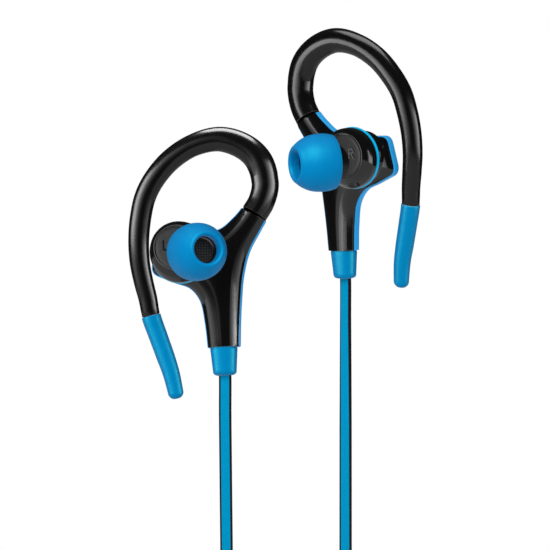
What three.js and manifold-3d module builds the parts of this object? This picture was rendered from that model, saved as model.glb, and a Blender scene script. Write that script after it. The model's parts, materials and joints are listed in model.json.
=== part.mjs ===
// A pair of wired in-ear sports earphones with over-ear hooks and a flat two-colour cable.
// Millimetres, +Z up. The pair hangs upright as it does on a wearer: the origin is the point
// under the top of the left hook where it rests on the ear. +X is to the right seen from the
// side the ear tips face, and +Y points away from that side.
import * as THREE from "three";
import { mergeVertices } from "three/addons/utils/BufferGeometryUtils.js";
import Module from "manifold-3d";

const wasm = await Module();
wasm.setup();

// ---- Driving dimensions -------------------------------------------------------------------

const GAP = 0.3; // clearance between pieces that touch

// Where each bud's cable leaves its strain relief, and how the bud is turned there, in degrees.
const LEFT_EXIT = [1.5, -5.2, -47.7];
const RIGHT_EXIT = [27.0, -7.0, -27.1];
const LEFT_TURN = { yaw: -8, pitch: -5, roll: -2.5 };
const RIGHT_TURN = { yaw: -36, pitch: 4.5, roll: -2.5 };

// Housing, in the bud's frame: x forward, y up, z inward to the ear, from the cable exit.
const STEM_BOTTOM = 6.0;
const REAR_FACE = -2.4;
const BAND_REAR = -0.6;
const BAND_FRONT = 1.0;
const FRONT_FACE = 2.8;
const WALL = 0.8;
const EDGE_ROUNDING = 2.2; // across the face, of the elliptical edge of both shells
const ROUNDING_START = 0.2; // depth at which both shells' elliptical edges would begin
const ROUNDING_STEPS = 4;
const OUTLINE_STEPS = 3; // straight steps between two points of the outline

// Pod that holds the sound driver.
const POD_CENTRE = [-7.5, 26.1];
const BOSS_RADIUS = 4.9;
const BOSS_TOP = 5.2;
const FLANGE_RADIUS = 6.0;
const RING_RADIUS = 6.55;
const RING_BOTTOM = 5.45;
const RING_THICKNESS = 0.5;
const POD_BOTTOM = 6.2;
const POD_TOP = 10.0;
const POD_RADIUS = 6.45;
const POD_LEAN = [-0.08, 0.22]; // how far the pod's face sits off centre, per mm of height
const CAP_RADIUS = 4.5;

// Nozzle and ear tip, measured along the nozzle's axis from where it crosses the pod's face.
const NOZZLE_TILT = 32;
const NOZZLE_FOOT = [-4.3, 25.55, 10.0];
const NOZZLE_RADIUS = 3.1;
const NOZZLE_WALL = 0.35;
const NOZZLE_LENGTH = 5.2;
const TIP_RADIUS = 6.15;
const TIP_LENGTH = 8.0;

// Ear hook.
const HOOK_START_RADIUS = 2.85;
const HOOK_TIP_LENGTH = 18.2;
const HOOK_SET = { left: 0, right: 1.8 }; // how far each soft hook's tail has crept upward
const HOOK_SET_START = 42; // height on the tail where that begins

// Strain relief under the stem.
const BOOT_TOP_SIZE = [5.8, 4.7];
const BOOT_BOTTOM_SCALE = 0.84;
const BOOT_TOP = STEM_BOTTOM - GAP;

// Flat cable and how its unseen length lies.
const CABLE_WIDTH = 2.7;
const CABLE_THICKNESS = 1.1;
const FLOOR = -100;
const COIL_CENTRE = [13.5, 54.5];
const COIL_BASE = FLOOR + 1.0;
const COIL_LAYER = CABLE_WIDTH + GAP;
const BRANCH_COIL_RADII = [15.5, 19.9];
const MAIN_COIL_RADII = [11.7, 20.6];

// In-line remote, splitter, ties and plug.
const REMOTE_SIZE = [7.4, 30, 4.6];
const REMOTE_CENTRE = [32.9, 24.7];
const REMOTE_HEADING = -9;
const BUTTON_HEIGHT = 1.25;
const BUTTON_TRAVEL = 0.35;
const SPLITTER_SIZE = [12, 3.6, 6.2];
const SPLITTER_ANGLE = 104;
const SPLITTER_DISTANCE = 12.1;
const TIE_ANGLES = [45, 225];
const TIE_WIDTH = 5;
const TIE_THICKNESS = 0.7;
const PLUG_END = [-7, 27];
const PLUG_HEIGHT = 3.1;

const rad = THREE.MathUtils.degToRad;

// ---- Materials ----------------------------------------------------------------------------

const finish = (color, roughness, metalness = 0) =>
  new THREE.MeshStandardMaterial({ color, roughness, metalness });

const glossBlack = finish(0x0c0c0d, 0.15);
const satinBlack = finish(0x151515, 0.4);
const rubberBlack = finish(0x101011, 0.45);
const blueSilicone = finish(0x0580c3, 0.5);
const blueRubber = finish(0x0486c6, 0.45);
const blueBand = finish(0x2a8fe6, 0.3);
const cyanRing = finish(0x10a8e8, 0.3);
const darkGrey = finish(0x35363a, 0.55);
const cableBlue = finish(0x0493c8, 0.5);
const steel = finish(0xb9bcc0, 0.25, 1);
const gold = finish(0xd8b25a, 0.25, 1);
const boardGreen = finish(0x1f6a45, 0.6);
const filmClear = finish(0xcfc9b8, 0.4);
const meshBlack = finish(0x1a1a1b, 0.6, 0.5);

// ---- Shape helpers ------------------------------------------------------------------------

// A closed three.js geometry as a manifold-3d solid.
function solid(geometry) {
  const bare = geometry.clone();
  ["normal", "uv"].forEach((name) => bare.deleteAttribute(name));
  const merged = mergeVertices(bare, 1e-4);
  return new wasm.Manifold(
    new wasm.Mesh({
      numProp: 3,
      vertProperties: merged.attributes.position.array,
      triVerts: new Uint32Array(merged.index.array),
    }),
  );
}

// A manifold-3d solid as a three.js geometry.
function geometryOf(made) {
  const mesh = made.getMesh();
  const geometry = new THREE.BufferGeometry();
  geometry.setAttribute("position", new THREE.BufferAttribute(mesh.vertProperties, 3));
  geometry.setIndex(new THREE.BufferAttribute(mesh.triVerts, 1));
  return geometry;
}

const cut = (from, ...tools) =>
  geometryOf(tools.reduce((left, tool) => left.subtract(solid(tool)), solid(from)));

const join = (...pieces) =>
  geometryOf(pieces.map(solid).reduce((whole, piece) => whole.add(piece)));

const overlap = (a, b) => geometryOf(solid(a).intersect(solid(b)));

// The largest of the separate bodies that a cut has left, without its slivers.
const largestBody = (geometry) =>
  geometryOf(
    solid(geometry)
      .decompose()
      .reduce((best, body) => (body.volume() > best.volume() ? body : best)),
  );

function piece(name, geometry, material) {
  const mesh = new THREE.Mesh(geometry, material);
  mesh.name = name;
  return mesh;
}

// A solid of revolution about z. The profile is a list of [radius, z] that starts and ends on
// the axis, or closes on itself, and runs with the material on its left.
function turned(profile, segments = 24) {
  const points = profile.map(([r, z]) => new THREE.Vector2(r, z));
  return new THREE.LatheGeometry(points, segments).rotateX(Math.PI / 2);
}

// A ring of rectangular section about z.
function ring(inner, outer, bottom, top, segments = 24) {
  const profile = [
    [inner, bottom],
    [outer, bottom],
    [outer, top],
    [inner, top],
    [inner, bottom],
  ];
  return turned(profile, segments);
}

function disc(radius, bottom, top, segments = 24) {
  const profile = [
    [0, bottom],
    [radius, bottom],
    [radius, top],
    [0, top],
  ];
  return turned(profile, segments);
}

function box(size, centre) {
  return new THREE.BoxGeometry(...size).translate(...centre);
}

function roundedRectangle(width, height, radius) {
  const x = width / 2 - radius;
  const y = height / 2 - radius;
  const shape = new THREE.Shape();
  shape.absarc(x, -y, radius, -Math.PI / 2, 0);
  shape.absarc(x, y, radius, 0, Math.PI / 2);
  shape.absarc(-x, y, radius, Math.PI / 2, Math.PI);
  shape.absarc(-x, -y, radius, Math.PI, 1.5 * Math.PI);
  shape.closePath();
  return shape;
}

// A rounded rectangle extruded from z = 0.
function slab(width, height, radius, depth, curveSegments = 3) {
  const shape = roundedRectangle(width, height, radius);
  return new THREE.ExtrudeGeometry(shape, { depth, curveSegments, bevelEnabled: false });
}

// A block with rounded long edges and softened ends, extruded from z = 0.
function softBlock(width, height, radius, depth, softening) {
  const shape = roundedRectangle(width, height, radius);
  const options = {
    depth: depth - 2 * softening,
    curveSegments: 3,
    bevelThickness: softening,
    bevelSize: softening,
    bevelOffset: -softening,
    bevelSegments: 2,
  };
  return new THREE.ExtrudeGeometry(shape, options).translate(0, 0, softening);
}

// Bends a straight solid that stands on z = 0 so that z runs along a curve near a plane whose
// normal is z: the solid's x stays in that plane.
function bentAlong(geometry, curve, length) {
  const position = geometry.attributes.position;
  const normal = new THREE.Vector3(0, 0, 1);
  const point = new THREE.Vector3();
  for (let i = 0; i < position.count; i += 1) {
    point.fromBufferAttribute(position, i);
    const share = THREE.MathUtils.clamp(point.z / length, 0, 1);
    const tangent = curve.getTangentAt(share);
    const beyond = point.z - share * length;
    const side = new THREE.Vector3().crossVectors(normal, tangent).normalize();
    const depth = new THREE.Vector3().crossVectors(tangent, side);
    const placed = curve
      .getPointAt(share)
      .addScaledVector(side, point.x)
      .addScaledVector(depth, point.y)
      .addScaledVector(tangent, beyond);
    position.setXYZ(i, placed.x, placed.y, placed.z);
  }
  return geometry;
}

// ---- Housing ------------------------------------------------------------------------------

// The Y-shaped outline of the housing: stem, rear arm under the pod, front arm to the hook.
// A positive inset shrinks it by about that much all round.
function housingOutline(inset = 0) {
  const shape = new THREE.Shape();
  const vectors = (points) => points.map(([x, y]) => new THREE.Vector2(x, y));
  const bottom = STEM_BOTTOM + inset;
  shape.moveTo(-3.35 + inset, bottom);
  shape.splineThru(
    vectors([
      [-3.75 + inset, 11.4],
      [-4.6 + inset, 16.1],
      [-6.6 + 0.7 * inset, 18.8 + 0.7 * inset],
      [-9.8, 20.2 + inset],
      [-13.4 + 0.5 * inset, 21.8 + inset],
    ]),
  );
  shape.quadraticCurveTo(-14.8 + inset, 22.4 + inset, -14.5 + inset, 24.2 + 0.5 * inset);
  shape.lineTo(-13.4 + inset, 28.9 - 0.8 * inset);
  shape.quadraticCurveTo(-13.0 + inset, 30.3 - inset, -11.6 + 0.5 * inset, 30.3 - inset);
  shape.splineThru(
    vectors([
      [-6.0, 30.3 - inset],
      [0.2, 31.1 - inset],
      [3.0, 33.1 - inset],
      [5.2 + 0.3 * inset, 35.4 - inset],
    ]),
  );
  shape.lineTo(10.2 - inset, 32.4 - 0.3 * inset);
  shape.splineThru(
    vectors([
      [8.65 - inset, 29.9],
      [6.35 - inset, 25.9],
      [4.9 - inset, 20.9],
      [4.25 - inset, 16.0],
      [3.8 - inset, 11.0],
      [3.5 - inset, bottom],
    ]),
  );
  shape.closePath();
  return shape;
}

// A solid with the housing's outline at each [inset, z] level, from the lowest level up.
function layered(levels) {
  const outlines = levels.map(([inset]) =>
    housingOutline(inset).getPoints(OUTLINE_STEPS).slice(0, -1),
  );
  const count = outlines[0].length;
  const positions = levels.flatMap(([, z], level) =>
    outlines[level].flatMap((point) => [point.x, point.y, z]),
  );
  const faces = [];
  for (let level = 1; level < levels.length; level += 1) {
    for (let i = 0; i < count; i += 1) {
      const below = (level - 1) * count + i;
      const belowNext = (level - 1) * count + ((i + 1) % count);
      faces.push(below, below + count, belowNext);
      faces.push(belowNext, below + count, belowNext + count);
    }
  }
  const last = (levels.length - 1) * count;
  THREE.ShapeUtils.triangulateShape(outlines[0], []).forEach(([a, b, c]) => {
    faces.push(a, c, b);
  });
  THREE.ShapeUtils.triangulateShape(outlines.at(-1), []).forEach(([a, b, c]) => {
    faces.push(last + a, last + b, last + c);
  });
  const geometry = new THREE.BufferGeometry();
  geometry.setAttribute("position", new THREE.Float32BufferAttribute(positions, 3));
  geometry.setIndex(faces);
  return geometry;
}

const plate = (inset, back, front) =>
  layered([
    [inset, back],
    [inset, front],
  ]);

// Levels of a casing half from its seam out to its face, its edge an ellipse in section.
function roundedLevels(seam, face) {
  const start = Math.sign(face) * ROUNDING_START;
  const levels = [];
  for (let i = 0; i <= ROUNDING_STEPS; i += 1) {
    const first = Math.asin((seam - start) / (face - start));
    const angle = THREE.MathUtils.lerp(first, Math.PI / 2, i / ROUNDING_STEPS);
    const inset = EDGE_ROUNDING * (1 - Math.cos(angle));
    levels.push([inset, start + (face - start) * Math.sin(angle)]);
  }
  return levels;
}

const inBossFrame = (geometry) => geometry.translate(...POD_CENTRE, 0);

// Sets the pod's face off centre while its foot stays on the ring.
function leaned(geometry) {
  const [x, y] = POD_LEAN;
  const lean = new THREE.Matrix4();
  lean.set(1, 0, x, -x * POD_BOTTOM, 0, 1, y, -y * POD_BOTTOM, 0, 0, 1, 0, 0, 0, 0, 1);
  return geometry.applyMatrix4(lean);
}

// The opening in the stem's foot that the strain relief's neck passes through.
const stemOpening = () => box([4.2, 4, 3.2], [0, STEM_BOTTOM, 0.2]);

function frontShell() {
  const casing = layered(roundedLevels(BAND_FRONT + GAP / 2, FRONT_FACE));
  const bossProfile = [
    [0, FRONT_FACE - 1],
    [BOSS_RADIUS, FRONT_FACE - 1],
    [BOSS_RADIUS, 4.4],
    [FLANGE_RADIUS, 4.9],
    [FLANGE_RADIUS, BOSS_TOP],
    [0, BOSS_TOP],
  ];
  const driverSpaceProfile = [
    [0, FRONT_FACE + 0.1],
    [3.8, FRONT_FACE + 0.1],
    [3.8, 4.6],
    [5.0, BOSS_TOP],
    [5.0, BOSS_TOP + 1],
    [0, BOSS_TOP + 1],
  ];
  const boss = inBossFrame(turned(bossProfile));
  const driverSpace = inBossFrame(turned(driverSpaceProfile));
  const hollow = plate(WALL + 0.6, BAND_FRONT - 1, FRONT_FACE - WALL);
  const wireHole = inBossFrame(disc(1.5, 0, FRONT_FACE + 1, 12));
  return cut(join(casing, boss), hollow, driverSpace, wireHole, stemOpening());
}

function rearShell() {
  const casing = layered(roundedLevels(BAND_REAR - GAP / 2, REAR_FACE).reverse());
  const hollow = plate(WALL + 0.6, REAR_FACE + WALL, BAND_REAR + 1);
  return cut(casing, hollow, stemOpening());
}

function midBand() {
  const frame = plate(0, BAND_REAR + GAP / 2, BAND_FRONT - GAP / 2);
  return cut(frame, plate(WALL + 0.4, BAND_REAR - 1, BAND_FRONT + 1), stemOpening());
}

// ---- Pod, driver, nozzle and ear tip ------------------------------------------------------

// Places a solid of revolution on the nozzle's axis.
const onNozzleAxis = (geometry) =>
  geometry.rotateY(rad(NOZZLE_TILT)).translate(...NOZZLE_FOOT);

// Neck, tube and barb of the nozzle, larger all round by the clearance given.
function nozzleBody(clearance = 0) {
  const profile = [
    [0, -6],
    [4.3 + clearance, -6],
    [4.3 + clearance, -1.6],
    [3.8 + clearance, -0.4],
    [NOZZLE_RADIUS + clearance, 0],
    [NOZZLE_RADIUS + clearance, 4.0],
    [NOZZLE_RADIUS + 0.12 + clearance, 4.2],
    [NOZZLE_RADIUS - 0.1 + clearance, NOZZLE_LENGTH],
    [0, NOZZLE_LENGTH],
  ];
  return onNozzleAxis(turned(profile));
}

const nozzleClearance = () => nozzleBody(GAP);

function nozzle() {
  const bore = onNozzleAxis(disc(NOZZLE_RADIUS - NOZZLE_WALL, -8, NOZZLE_LENGTH + 1));
  const aboveDriver = box([40, 40, 20], [0, 25, 8.6 + 10]);
  return cut(overlap(nozzleBody(), aboveDriver), bore);
}

function nozzleMesh() {
  return onNozzleAxis(disc(NOZZLE_RADIUS - NOZZLE_WALL - 0.1, 4.6, 4.9));
}

function driverPod() {
  const profile = [
    [POD_RADIUS - WALL, POD_BOTTOM],
    [POD_RADIUS, POD_BOTTOM],
    [POD_RADIUS - 0.05, 7.2],
    [POD_RADIUS - 0.4, 8.3],
    [POD_RADIUS - 1.05, 9.3],
    [POD_RADIUS - 1.6, POD_TOP - 0.2],
    [CAP_RADIUS + GAP, POD_TOP - 0.2],
    [CAP_RADIUS + GAP, 9.0],
    [CAP_RADIUS - 0.4, 8.7],
    [POD_RADIUS - WALL - 0.5, 8.2],
    [POD_RADIUS - WALL, POD_BOTTOM],
  ];
  return largestBody(cut(leaned(inBossFrame(turned(profile))), nozzleClearance()));
}

// Raised side marks: L and R drawn as plain strokes 2.3 mm high.
function markShape(side) {
  const shape = new THREE.Shape();
  if (side === "left") {
    [
      [-0.7, -1.15],
      [0.7, -1.15],
      [0.7, -0.7],
      [-0.2, -0.7],
      [-0.2, 1.15],
      [-0.7, 1.15],
    ].forEach(([x, y], i) => (i ? shape.lineTo(x, y) : shape.moveTo(x, y)));
    shape.closePath();
    return shape;
  }
  shape.moveTo(-0.75, -1.15);
  shape.lineTo(-0.3, -1.15);
  shape.lineTo(-0.3, -0.25);
  shape.lineTo(0.3, -1.15);
  shape.lineTo(0.85, -1.15);
  shape.lineTo(0.2, -0.2);
  shape.absarc(0.1, 0.5, 0.65, -Math.PI / 2, Math.PI / 2);
  shape.lineTo(-0.75, 1.15);
  shape.closePath();
  const eye = new THREE.Path();
  eye.moveTo(-0.3, 0.2);
  eye.lineTo(-0.3, 0.75);
  eye.lineTo(0.1, 0.75);
  eye.absarc(0.1, 0.475, 0.275, Math.PI / 2, -Math.PI / 2, true);
  eye.closePath();
  shape.holes.push(eye);
  return shape;
}

function podCap(side) {
  const face = leaned(inBossFrame(disc(CAP_RADIUS, 9.3, POD_TOP - 0.1)));
  const options = { depth: 0.7, curveSegments: 4, bevelEnabled: false };
  const mark = new THREE.ExtrudeGeometry(markShape(side), options);
  if (side === "right") mark.applyMatrix4(new THREE.Matrix4().makeRotationY(Math.PI));
  mark.translate(-10.1, 27.4, side === "right" ? POD_TOP + 0.15 : POD_TOP - 0.55);
  return largestBody(cut(join(face, mark), nozzleClearance()));
}

const podRing = () =>
  inBossFrame(ring(5.2, RING_RADIUS, RING_BOTTOM, RING_BOTTOM + RING_THICKNESS));

// Sound driver: cup-shaped frame, magnet in it, diaphragm across its mouth.
function driverFrame() {
  const profile = [
    [0, 3.2],
    [3.4, 3.2],
    [3.4, 4.9],
    [4.8, 5.6],
    [4.8, 7.2],
    [4.3, 7.2],
    [4.3, 6.0],
    [3.0, 5.3],
    [3.0, 3.7],
    [0, 3.7],
  ];
  return inBossFrame(turned(profile, 24));
}

const driverMagnet = () => inBossFrame(disc(2.4, 4.0, 5.8, 20));

function diaphragm() {
  const profile = [
    [0, 7.85],
    [2.0, 7.6],
    [2.2, 7.5],
    [4.7, 7.5],
    [4.7, 7.75],
    [2.3, 7.75],
    [0, 8.15],
  ];
  return inBossFrame(turned(profile, 24));
}

// Soft ear tip: a dome over a sleeve that grips the nozzle, open behind like an umbrella.
function earTip() {
  const sleeve = NOZZLE_RADIUS + 0.35;
  const profile = [
    [3.3, TIP_LENGTH],
    [2.95, TIP_LENGTH - 0.4],
    [2.95, 5.7],
    [sleeve, 5.4],
    [sleeve, 0.35],
    [sleeve + 0.5, 0.35],
    [sleeve + 0.5, 5.2],
    [4.7, 5.2],
    [5.2, 4.3],
    [5.6, 2.4],
    [5.55, 0.6],
    [5.35, -0.55],
    [5.8, -0.6],
    [6.0, 0.4],
    [TIP_RADIUS, 1.9],
    [6.0, 3.8],
    [5.6, 5.2],
    [4.9, 6.5],
    [4.3, 7.3],
    [3.8, TIP_LENGTH - 0.1],
    [3.3, TIP_LENGTH],
  ];
  return onNozzleAxis(turned(profile));
}

// ---- Ear hook -----------------------------------------------------------------------------

// Centreline of the hook, from its root on the front arm over the ear and down behind it.
const HOOK_LINE = [
  [9.35, 36.6, -0.6],
  [10.25, 40.4, -0.8],
  [9.0, 45.4, -1.0],
  [6.0, 48.5, -1.1],
  [0.9, 50.4, -1.1],
  [-4.7, 49.5, -1.1],
  [-9.7, 46.7, -1.2],
  [-13.4, 42.9, -1.2],
  [-15.6, 39.2, -1.3],
  [-16.8, 35.0, -1.4],
  [-17.5, 30.0, -1.6],
  [-17.5, 25.3, -1.8],
  [-16.9, 21.0, -2.1],
  [-16.2, 17.4, -2.5],
  [-15.7, 13.7, -2.8],
  [-14.5, 9.6, -3.2],
  [-13.2, 5.3, -3.6],
  [-12.1, 1.4, -3.9],
  [-11.2, -3.7, -4.4],
];

// Radius of the hook at shares of its length.
const HOOK_RADII = [
  [0, HOOK_START_RADIUS],
  [0.1, 2.95],
  [0.2, 2.75],
  [0.3, 2.4],
  [0.55, 2.3],
  [0.7, 2.1],
  [0.8, 1.9],
  [0.86, 2.0],
  [0.93, 1.85],
  [1, 1.35],
];

// The centreline on one side, with the tail's creep spread along it.
function hookCurve(side) {
  const points = HOOK_LINE.map(([x, y, z]) => {
    const down = x < 0 ? Math.max(0, HOOK_SET_START - y) : 0;
    const raised = HOOK_SET[side] * Math.min(1, down / 25);
    return new THREE.Vector3(x, y + raised, z);
  });
  return new THREE.CatmullRomCurve3(points, false, "centripetal");
}

function hookRadius(share) {
  const next = Math.max(1, HOOK_RADII.findIndex(([at]) => at >= share));
  const [from, radiusFrom] = HOOK_RADII[next - 1];
  const [to, radiusTo] = HOOK_RADII[next];
  return THREE.MathUtils.mapLinear(share, from, to, radiusFrom, radiusTo);
}

// Part of the hook between two shares of its length. A start dome is a half ball about the
// start point, and an end dome rounds off the end.
function hookStretch(curve, from, to, { startDome = false, endDome = false } = {}) {
  const length = curve.getLength();
  const steps = Math.round((to - from) * 34);
  const profile = [];
  if (startDome) {
    const radius = hookRadius(from);
    for (let i = 0; i < 4; i += 1) {
      const angle = ((i / 4) * Math.PI) / 2;
      profile.push([radius * Math.sin(angle), from * length - radius * Math.cos(angle)]);
    }
  } else {
    profile.push([0, from * length]);
  }
  for (let i = 0; i <= steps; i += 1) {
    const share = THREE.MathUtils.lerp(from, to, i / steps);
    profile.push([hookRadius(share), share * length]);
  }
  if (endDome) {
    const radius = hookRadius(to);
    profile.push([0.7 * radius, to * length + 0.35 * radius]);
    profile.push([0, to * length + 0.5 * radius]);
  } else {
    profile.push([0, to * length]);
  }
  return bentAlong(turned(profile, 12), curve, length);
}

function earHook(side) {
  const curve = hookCurve(side);
  return hookStretch(curve, 0, 1 - HOOK_TIP_LENGTH / curve.getLength(), { startDome: true });
}

function hookTip(side) {
  const curve = hookCurve(side);
  const from = 1 - (HOOK_TIP_LENGTH - GAP) / curve.getLength();
  return hookStretch(curve, from, 1, { endDome: true });
}

// ---- Strain relief ------------------------------------------------------------------------

// Turns a solid extruded along z so that it stands along y.
const upright = (geometry) => geometry.rotateX(-Math.PI / 2);

function strainRelief() {
  const [width, depth] = BOOT_TOP_SIZE;
  const boot = softBlock(width, depth, 2.2, BOOT_TOP, 0.4);
  const position = boot.attributes.position;
  for (let i = 0; i < position.count; i += 1) {
    const scale = THREE.MathUtils.lerp(BOOT_BOTTOM_SCALE, 1, position.getZ(i) / BOOT_TOP);
    position.setXY(i, position.getX(i) * scale, position.getY(i) * scale);
  }
  const neck = slab(3.4, 2.4, 0.6, 2).translate(0, 0, BOOT_TOP - 0.4);
  const flange = slab(4.2, 2.2, 0.6, 1).translate(0, 0, 7.2);
  const bore = slab(CABLE_WIDTH + 2 * GAP, CABLE_THICKNESS + 2 * GAP, 0.4, 12);
  return upright(cut(join(boot, neck, flange), bore.translate(0, 0, -1)));
}

// The cable's end inside the bud: the last stretch through the strain relief, and its crimp.
function cableAnchor() {
  const end = slab(CABLE_WIDTH, CABLE_THICKNESS, 0.3, 9).translate(0, 0, 0.4);
  const crimp = slab(3.4, 1.9, 0.4, 1.6).translate(0, 0, 8.5);
  return upright(join(end, crimp));
}

// ---- One bud ------------------------------------------------------------------------------

function bud(side, exit, turn) {
  const frame = new THREE.Group();
  frame.rotation.x = Math.PI / 2;
  frame.add(
    piece("front_shell_" + side, frontShell(), glossBlack),
    piece("rear_shell_" + side, rearShell(), glossBlack),
    piece("mid_band_" + side, midBand(), blueBand),
    piece("driver_pod_" + side, driverPod(), glossBlack),
    piece("pod_cap_" + side, podCap(side), darkGrey),
    piece("pod_ring_" + side, podRing(), cyanRing),
    piece("driver_frame_" + side, driverFrame(), steel),
    piece("driver_magnet_" + side, driverMagnet(), steel),
    piece("diaphragm_" + side, diaphragm(), filmClear),
    piece("nozzle_" + side, nozzle(), satinBlack),
    piece("nozzle_mesh_" + side, nozzleMesh(), meshBlack),
    piece("ear_tip_" + side, earTip(), blueSilicone),
    piece("ear_hook_" + side, earHook(side), rubberBlack),
    piece("hook_tip_" + side, hookTip(side), blueRubber),
    piece("strain_relief_" + side, strainRelief(), blueRubber),
    piece("cable_anchor_" + side, cableAnchor(), cableBlue),
  );
  const mirror = new THREE.Group();
  mirror.scale.x = side === "right" ? -1 : 1;
  mirror.add(frame);
  const placed = new THREE.Group();
  placed.rotation.set(rad(turn.pitch), rad(turn.roll), rad(turn.yaw), "YXZ");
  placed.position.set(...exit);
  placed.add(mirror);
  return placed;
}

// ---- Cable --------------------------------------------------------------------------------

// Routes of the stretches that aren't coiled, chosen point by point.
const LEFT_ROUTE = [
  [1.5, -5.2, -48.0],
  [1.5, -5.2, -56],
  [1.6, -5.2, -66],
  [1.7, -5.2, -76],
  [1.8, -5.2, -86],
  [1.8, -5.1, -91.5],
  [1.8, -4.1, -95.5],
  [1.8, -1.2, -98.4],
  [1.8, 2.8, -99.4],
  [2.0, 7, -99.4],
  [2.9, 12, -99.2],
  [4.6, 17.5, -98.7],
  [7.0, 23, -97.9],
  [9.9, 27.8, -96.9],
  [13.2, 32, -95.9],
];
const RIGHT_UPPER_ROUTE = [
  [27.0, -7.0, -27.4],
  [27.0, -7.0, -36],
  [27.0, -7.0, -48],
  [27.0, -7.0, -60],
  [27.0, -7.0, -72],
  [27.0, -7.0, -84],
  [27.0, -6.9, -91.5],
  [27.2, -5.8, -95.5],
  [27.8, -2.9, -98.3],
  [28.5, 1, -99.0],
  [29.4, 5.2, -98.5],
  [30.4, 9.6, -97.7],
];
const RIGHT_LOWER_ROUTE = [
  [35.4, 40, -97.7],
  [35.6, 42, -97.8],
  [35.5, 44, -97.8],
  [35.1, 46, -97.7],
];
const MAIN_END_ROUTE = [
  [-6.8, 45.5, -92.7],
  [-6.9, 41.5, -94.2],
  [-7, 37, -95.8],
  [-7, 32, -96.8],
  [-7, 27.3, -96.9],
];

// The cable's eight-sided section, its width turned by the angle given.
function cableSection(angle) {
  const x = CABLE_WIDTH / 2;
  const y = CABLE_THICKNESS / 2;
  const corners = [
    [x, -0.5 * y],
    [x, 0.5 * y],
    [0.8 * x, y],
    [-0.8 * x, y],
    [-x, 0.5 * y],
    [-x, -0.5 * y],
    [-0.8 * x, -y],
    [0.8 * x, -y],
  ];
  const turnedCorners = corners.map(([a, b]) =>
    new THREE.Vector2(a, b).rotateAround(new THREE.Vector2(), rad(angle)),
  );
  return new THREE.Shape(turnedCorners);
}

function cableStretch(route, angle) {
  const path = new THREE.CatmullRomCurve3(route.map((point) => new THREE.Vector3(...point)));
  const steps = Math.round(path.getLength() / (2.2 * CABLE_WIDTH));
  const options = { extrudePath: path, steps, bevelEnabled: false };
  return new THREE.ExtrudeGeometry(cableSection(angle), options);
}

function coil([inner, outer], layer) {
  const bottom = COIL_BASE + layer * COIL_LAYER;
  return ring(inner, outer, bottom, bottom + CABLE_WIDTH, 36).translate(...COIL_CENTRE, 0);
}

// ---- Pieces on the cable ------------------------------------------------------------------

function splitter() {
  const [length, thickness, height] = SPLITTER_SIZE;
  const half = (name, side) => {
    const block = slab(length, height, 1.2, thickness / 2 - GAP / 2).rotateX(Math.PI / 2);
    block.translate(0, side > 0 ? thickness / 2 : -GAP / 2, 0);
    return piece(name, block, satinBlack);
  };
  const group = new THREE.Group();
  const angle = rad(SPLITTER_ANGLE);
  group.position.set(
    COIL_CENTRE[0] + SPLITTER_DISTANCE * Math.cos(angle),
    COIL_CENTRE[1] + SPLITTER_DISTANCE * Math.sin(angle),
    COIL_BASE + COIL_LAYER - GAP / 2 - 0.3,
  );
  group.rotation.z = angle + Math.PI / 2;
  group.add(half("splitter_front", -1), half("splitter_back", 1));
  return group;
}

function tie(name, degrees) {
  const bottom = COIL_BASE - GAP - TIE_THICKNESS;
  const top = COIL_BASE + 2 * COIL_LAYER + CABLE_WIDTH + GAP + TIE_THICKNESS;
  const inner = MAIN_COIL_RADII[0] - GAP - TIE_THICKNESS;
  const outer = MAIN_COIL_RADII[1] + GAP + TIE_THICKNESS;
  const centre = [(inner + outer) / 2, 0, (bottom + top) / 2];
  const width = outer - inner;
  const height = top - bottom;
  const strap = cut(
    box([width, TIE_WIDTH, height], centre),
    box([width - 2 * TIE_THICKNESS, 3 * TIE_WIDTH, height - 2 * TIE_THICKNESS], centre),
  );
  const mesh = piece(name, strap, rubberBlack);
  mesh.position.set(...COIL_CENTRE, 0);
  mesh.rotation.z = rad(degrees);
  return mesh;
}

// The in-line remote lies on its back: button up, microphone hole in one end of the cover.
function remote() {
  const [width, length, height] = REMOTE_SIZE;
  const seam = 0.1;
  const along = (geometry) => geometry.rotateX(Math.PI / 2).translate(0, length / 2, height / 2);
  const body = () => along(softBlock(width, height, 1.8, length, 0.8));
  const hollow = () =>
    along(slab(width - 1.8, height - 1.8, 0.9, length - 4).translate(0, 0, 2));
  const cableSlot = () => box([3.4, length + 4, 1.8], [0, 0, height / 2]);
  const upper = box([20, 60, 10], [0, 0, height / 2 + seam + 5]);
  const lower = box([20, 60, 10], [0, 0, height / 2 - seam - 5]);
  const buttonHole = slab(4.4, 11.6, 2.1, 6).translate(0, 0, 2.6);
  const soundHole = disc(0.6, 3, 6, 10).translate(0, 9.5, 0);
  const cover = cut(overlap(body(), upper), hollow(), cableSlot(), buttonHole, soundHole);
  const back = cut(overlap(body(), lower), hollow(), cableSlot());
  const buttonTop = height + BUTTON_TRAVEL + 0.1;
  const cap = softBlock(3.8, 11, 1.85, BUTTON_HEIGHT, 0.3);
  cap.translate(0, 0, buttonTop - BUTTON_HEIGHT);
  const board = box([4.4, 22, 0.5], [0, 0, 1.55]);
  const microphone = disc(1.2, 2.1, 3.0, 16).translate(0, 9.5, 0);
  const group = new THREE.Group();
  group.position.set(...REMOTE_CENTRE, FLOOR);
  group.rotation.z = rad(REMOTE_HEADING);
  group.add(
    piece("remote_cover", cover, satinBlack),
    piece("remote_back", back, satinBlack),
    piece("remote_button", cap, cableBlue),
    piece("remote_board", board, boardGreen),
    piece("microphone", microphone, steel),
  );
  return group;
}

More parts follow.
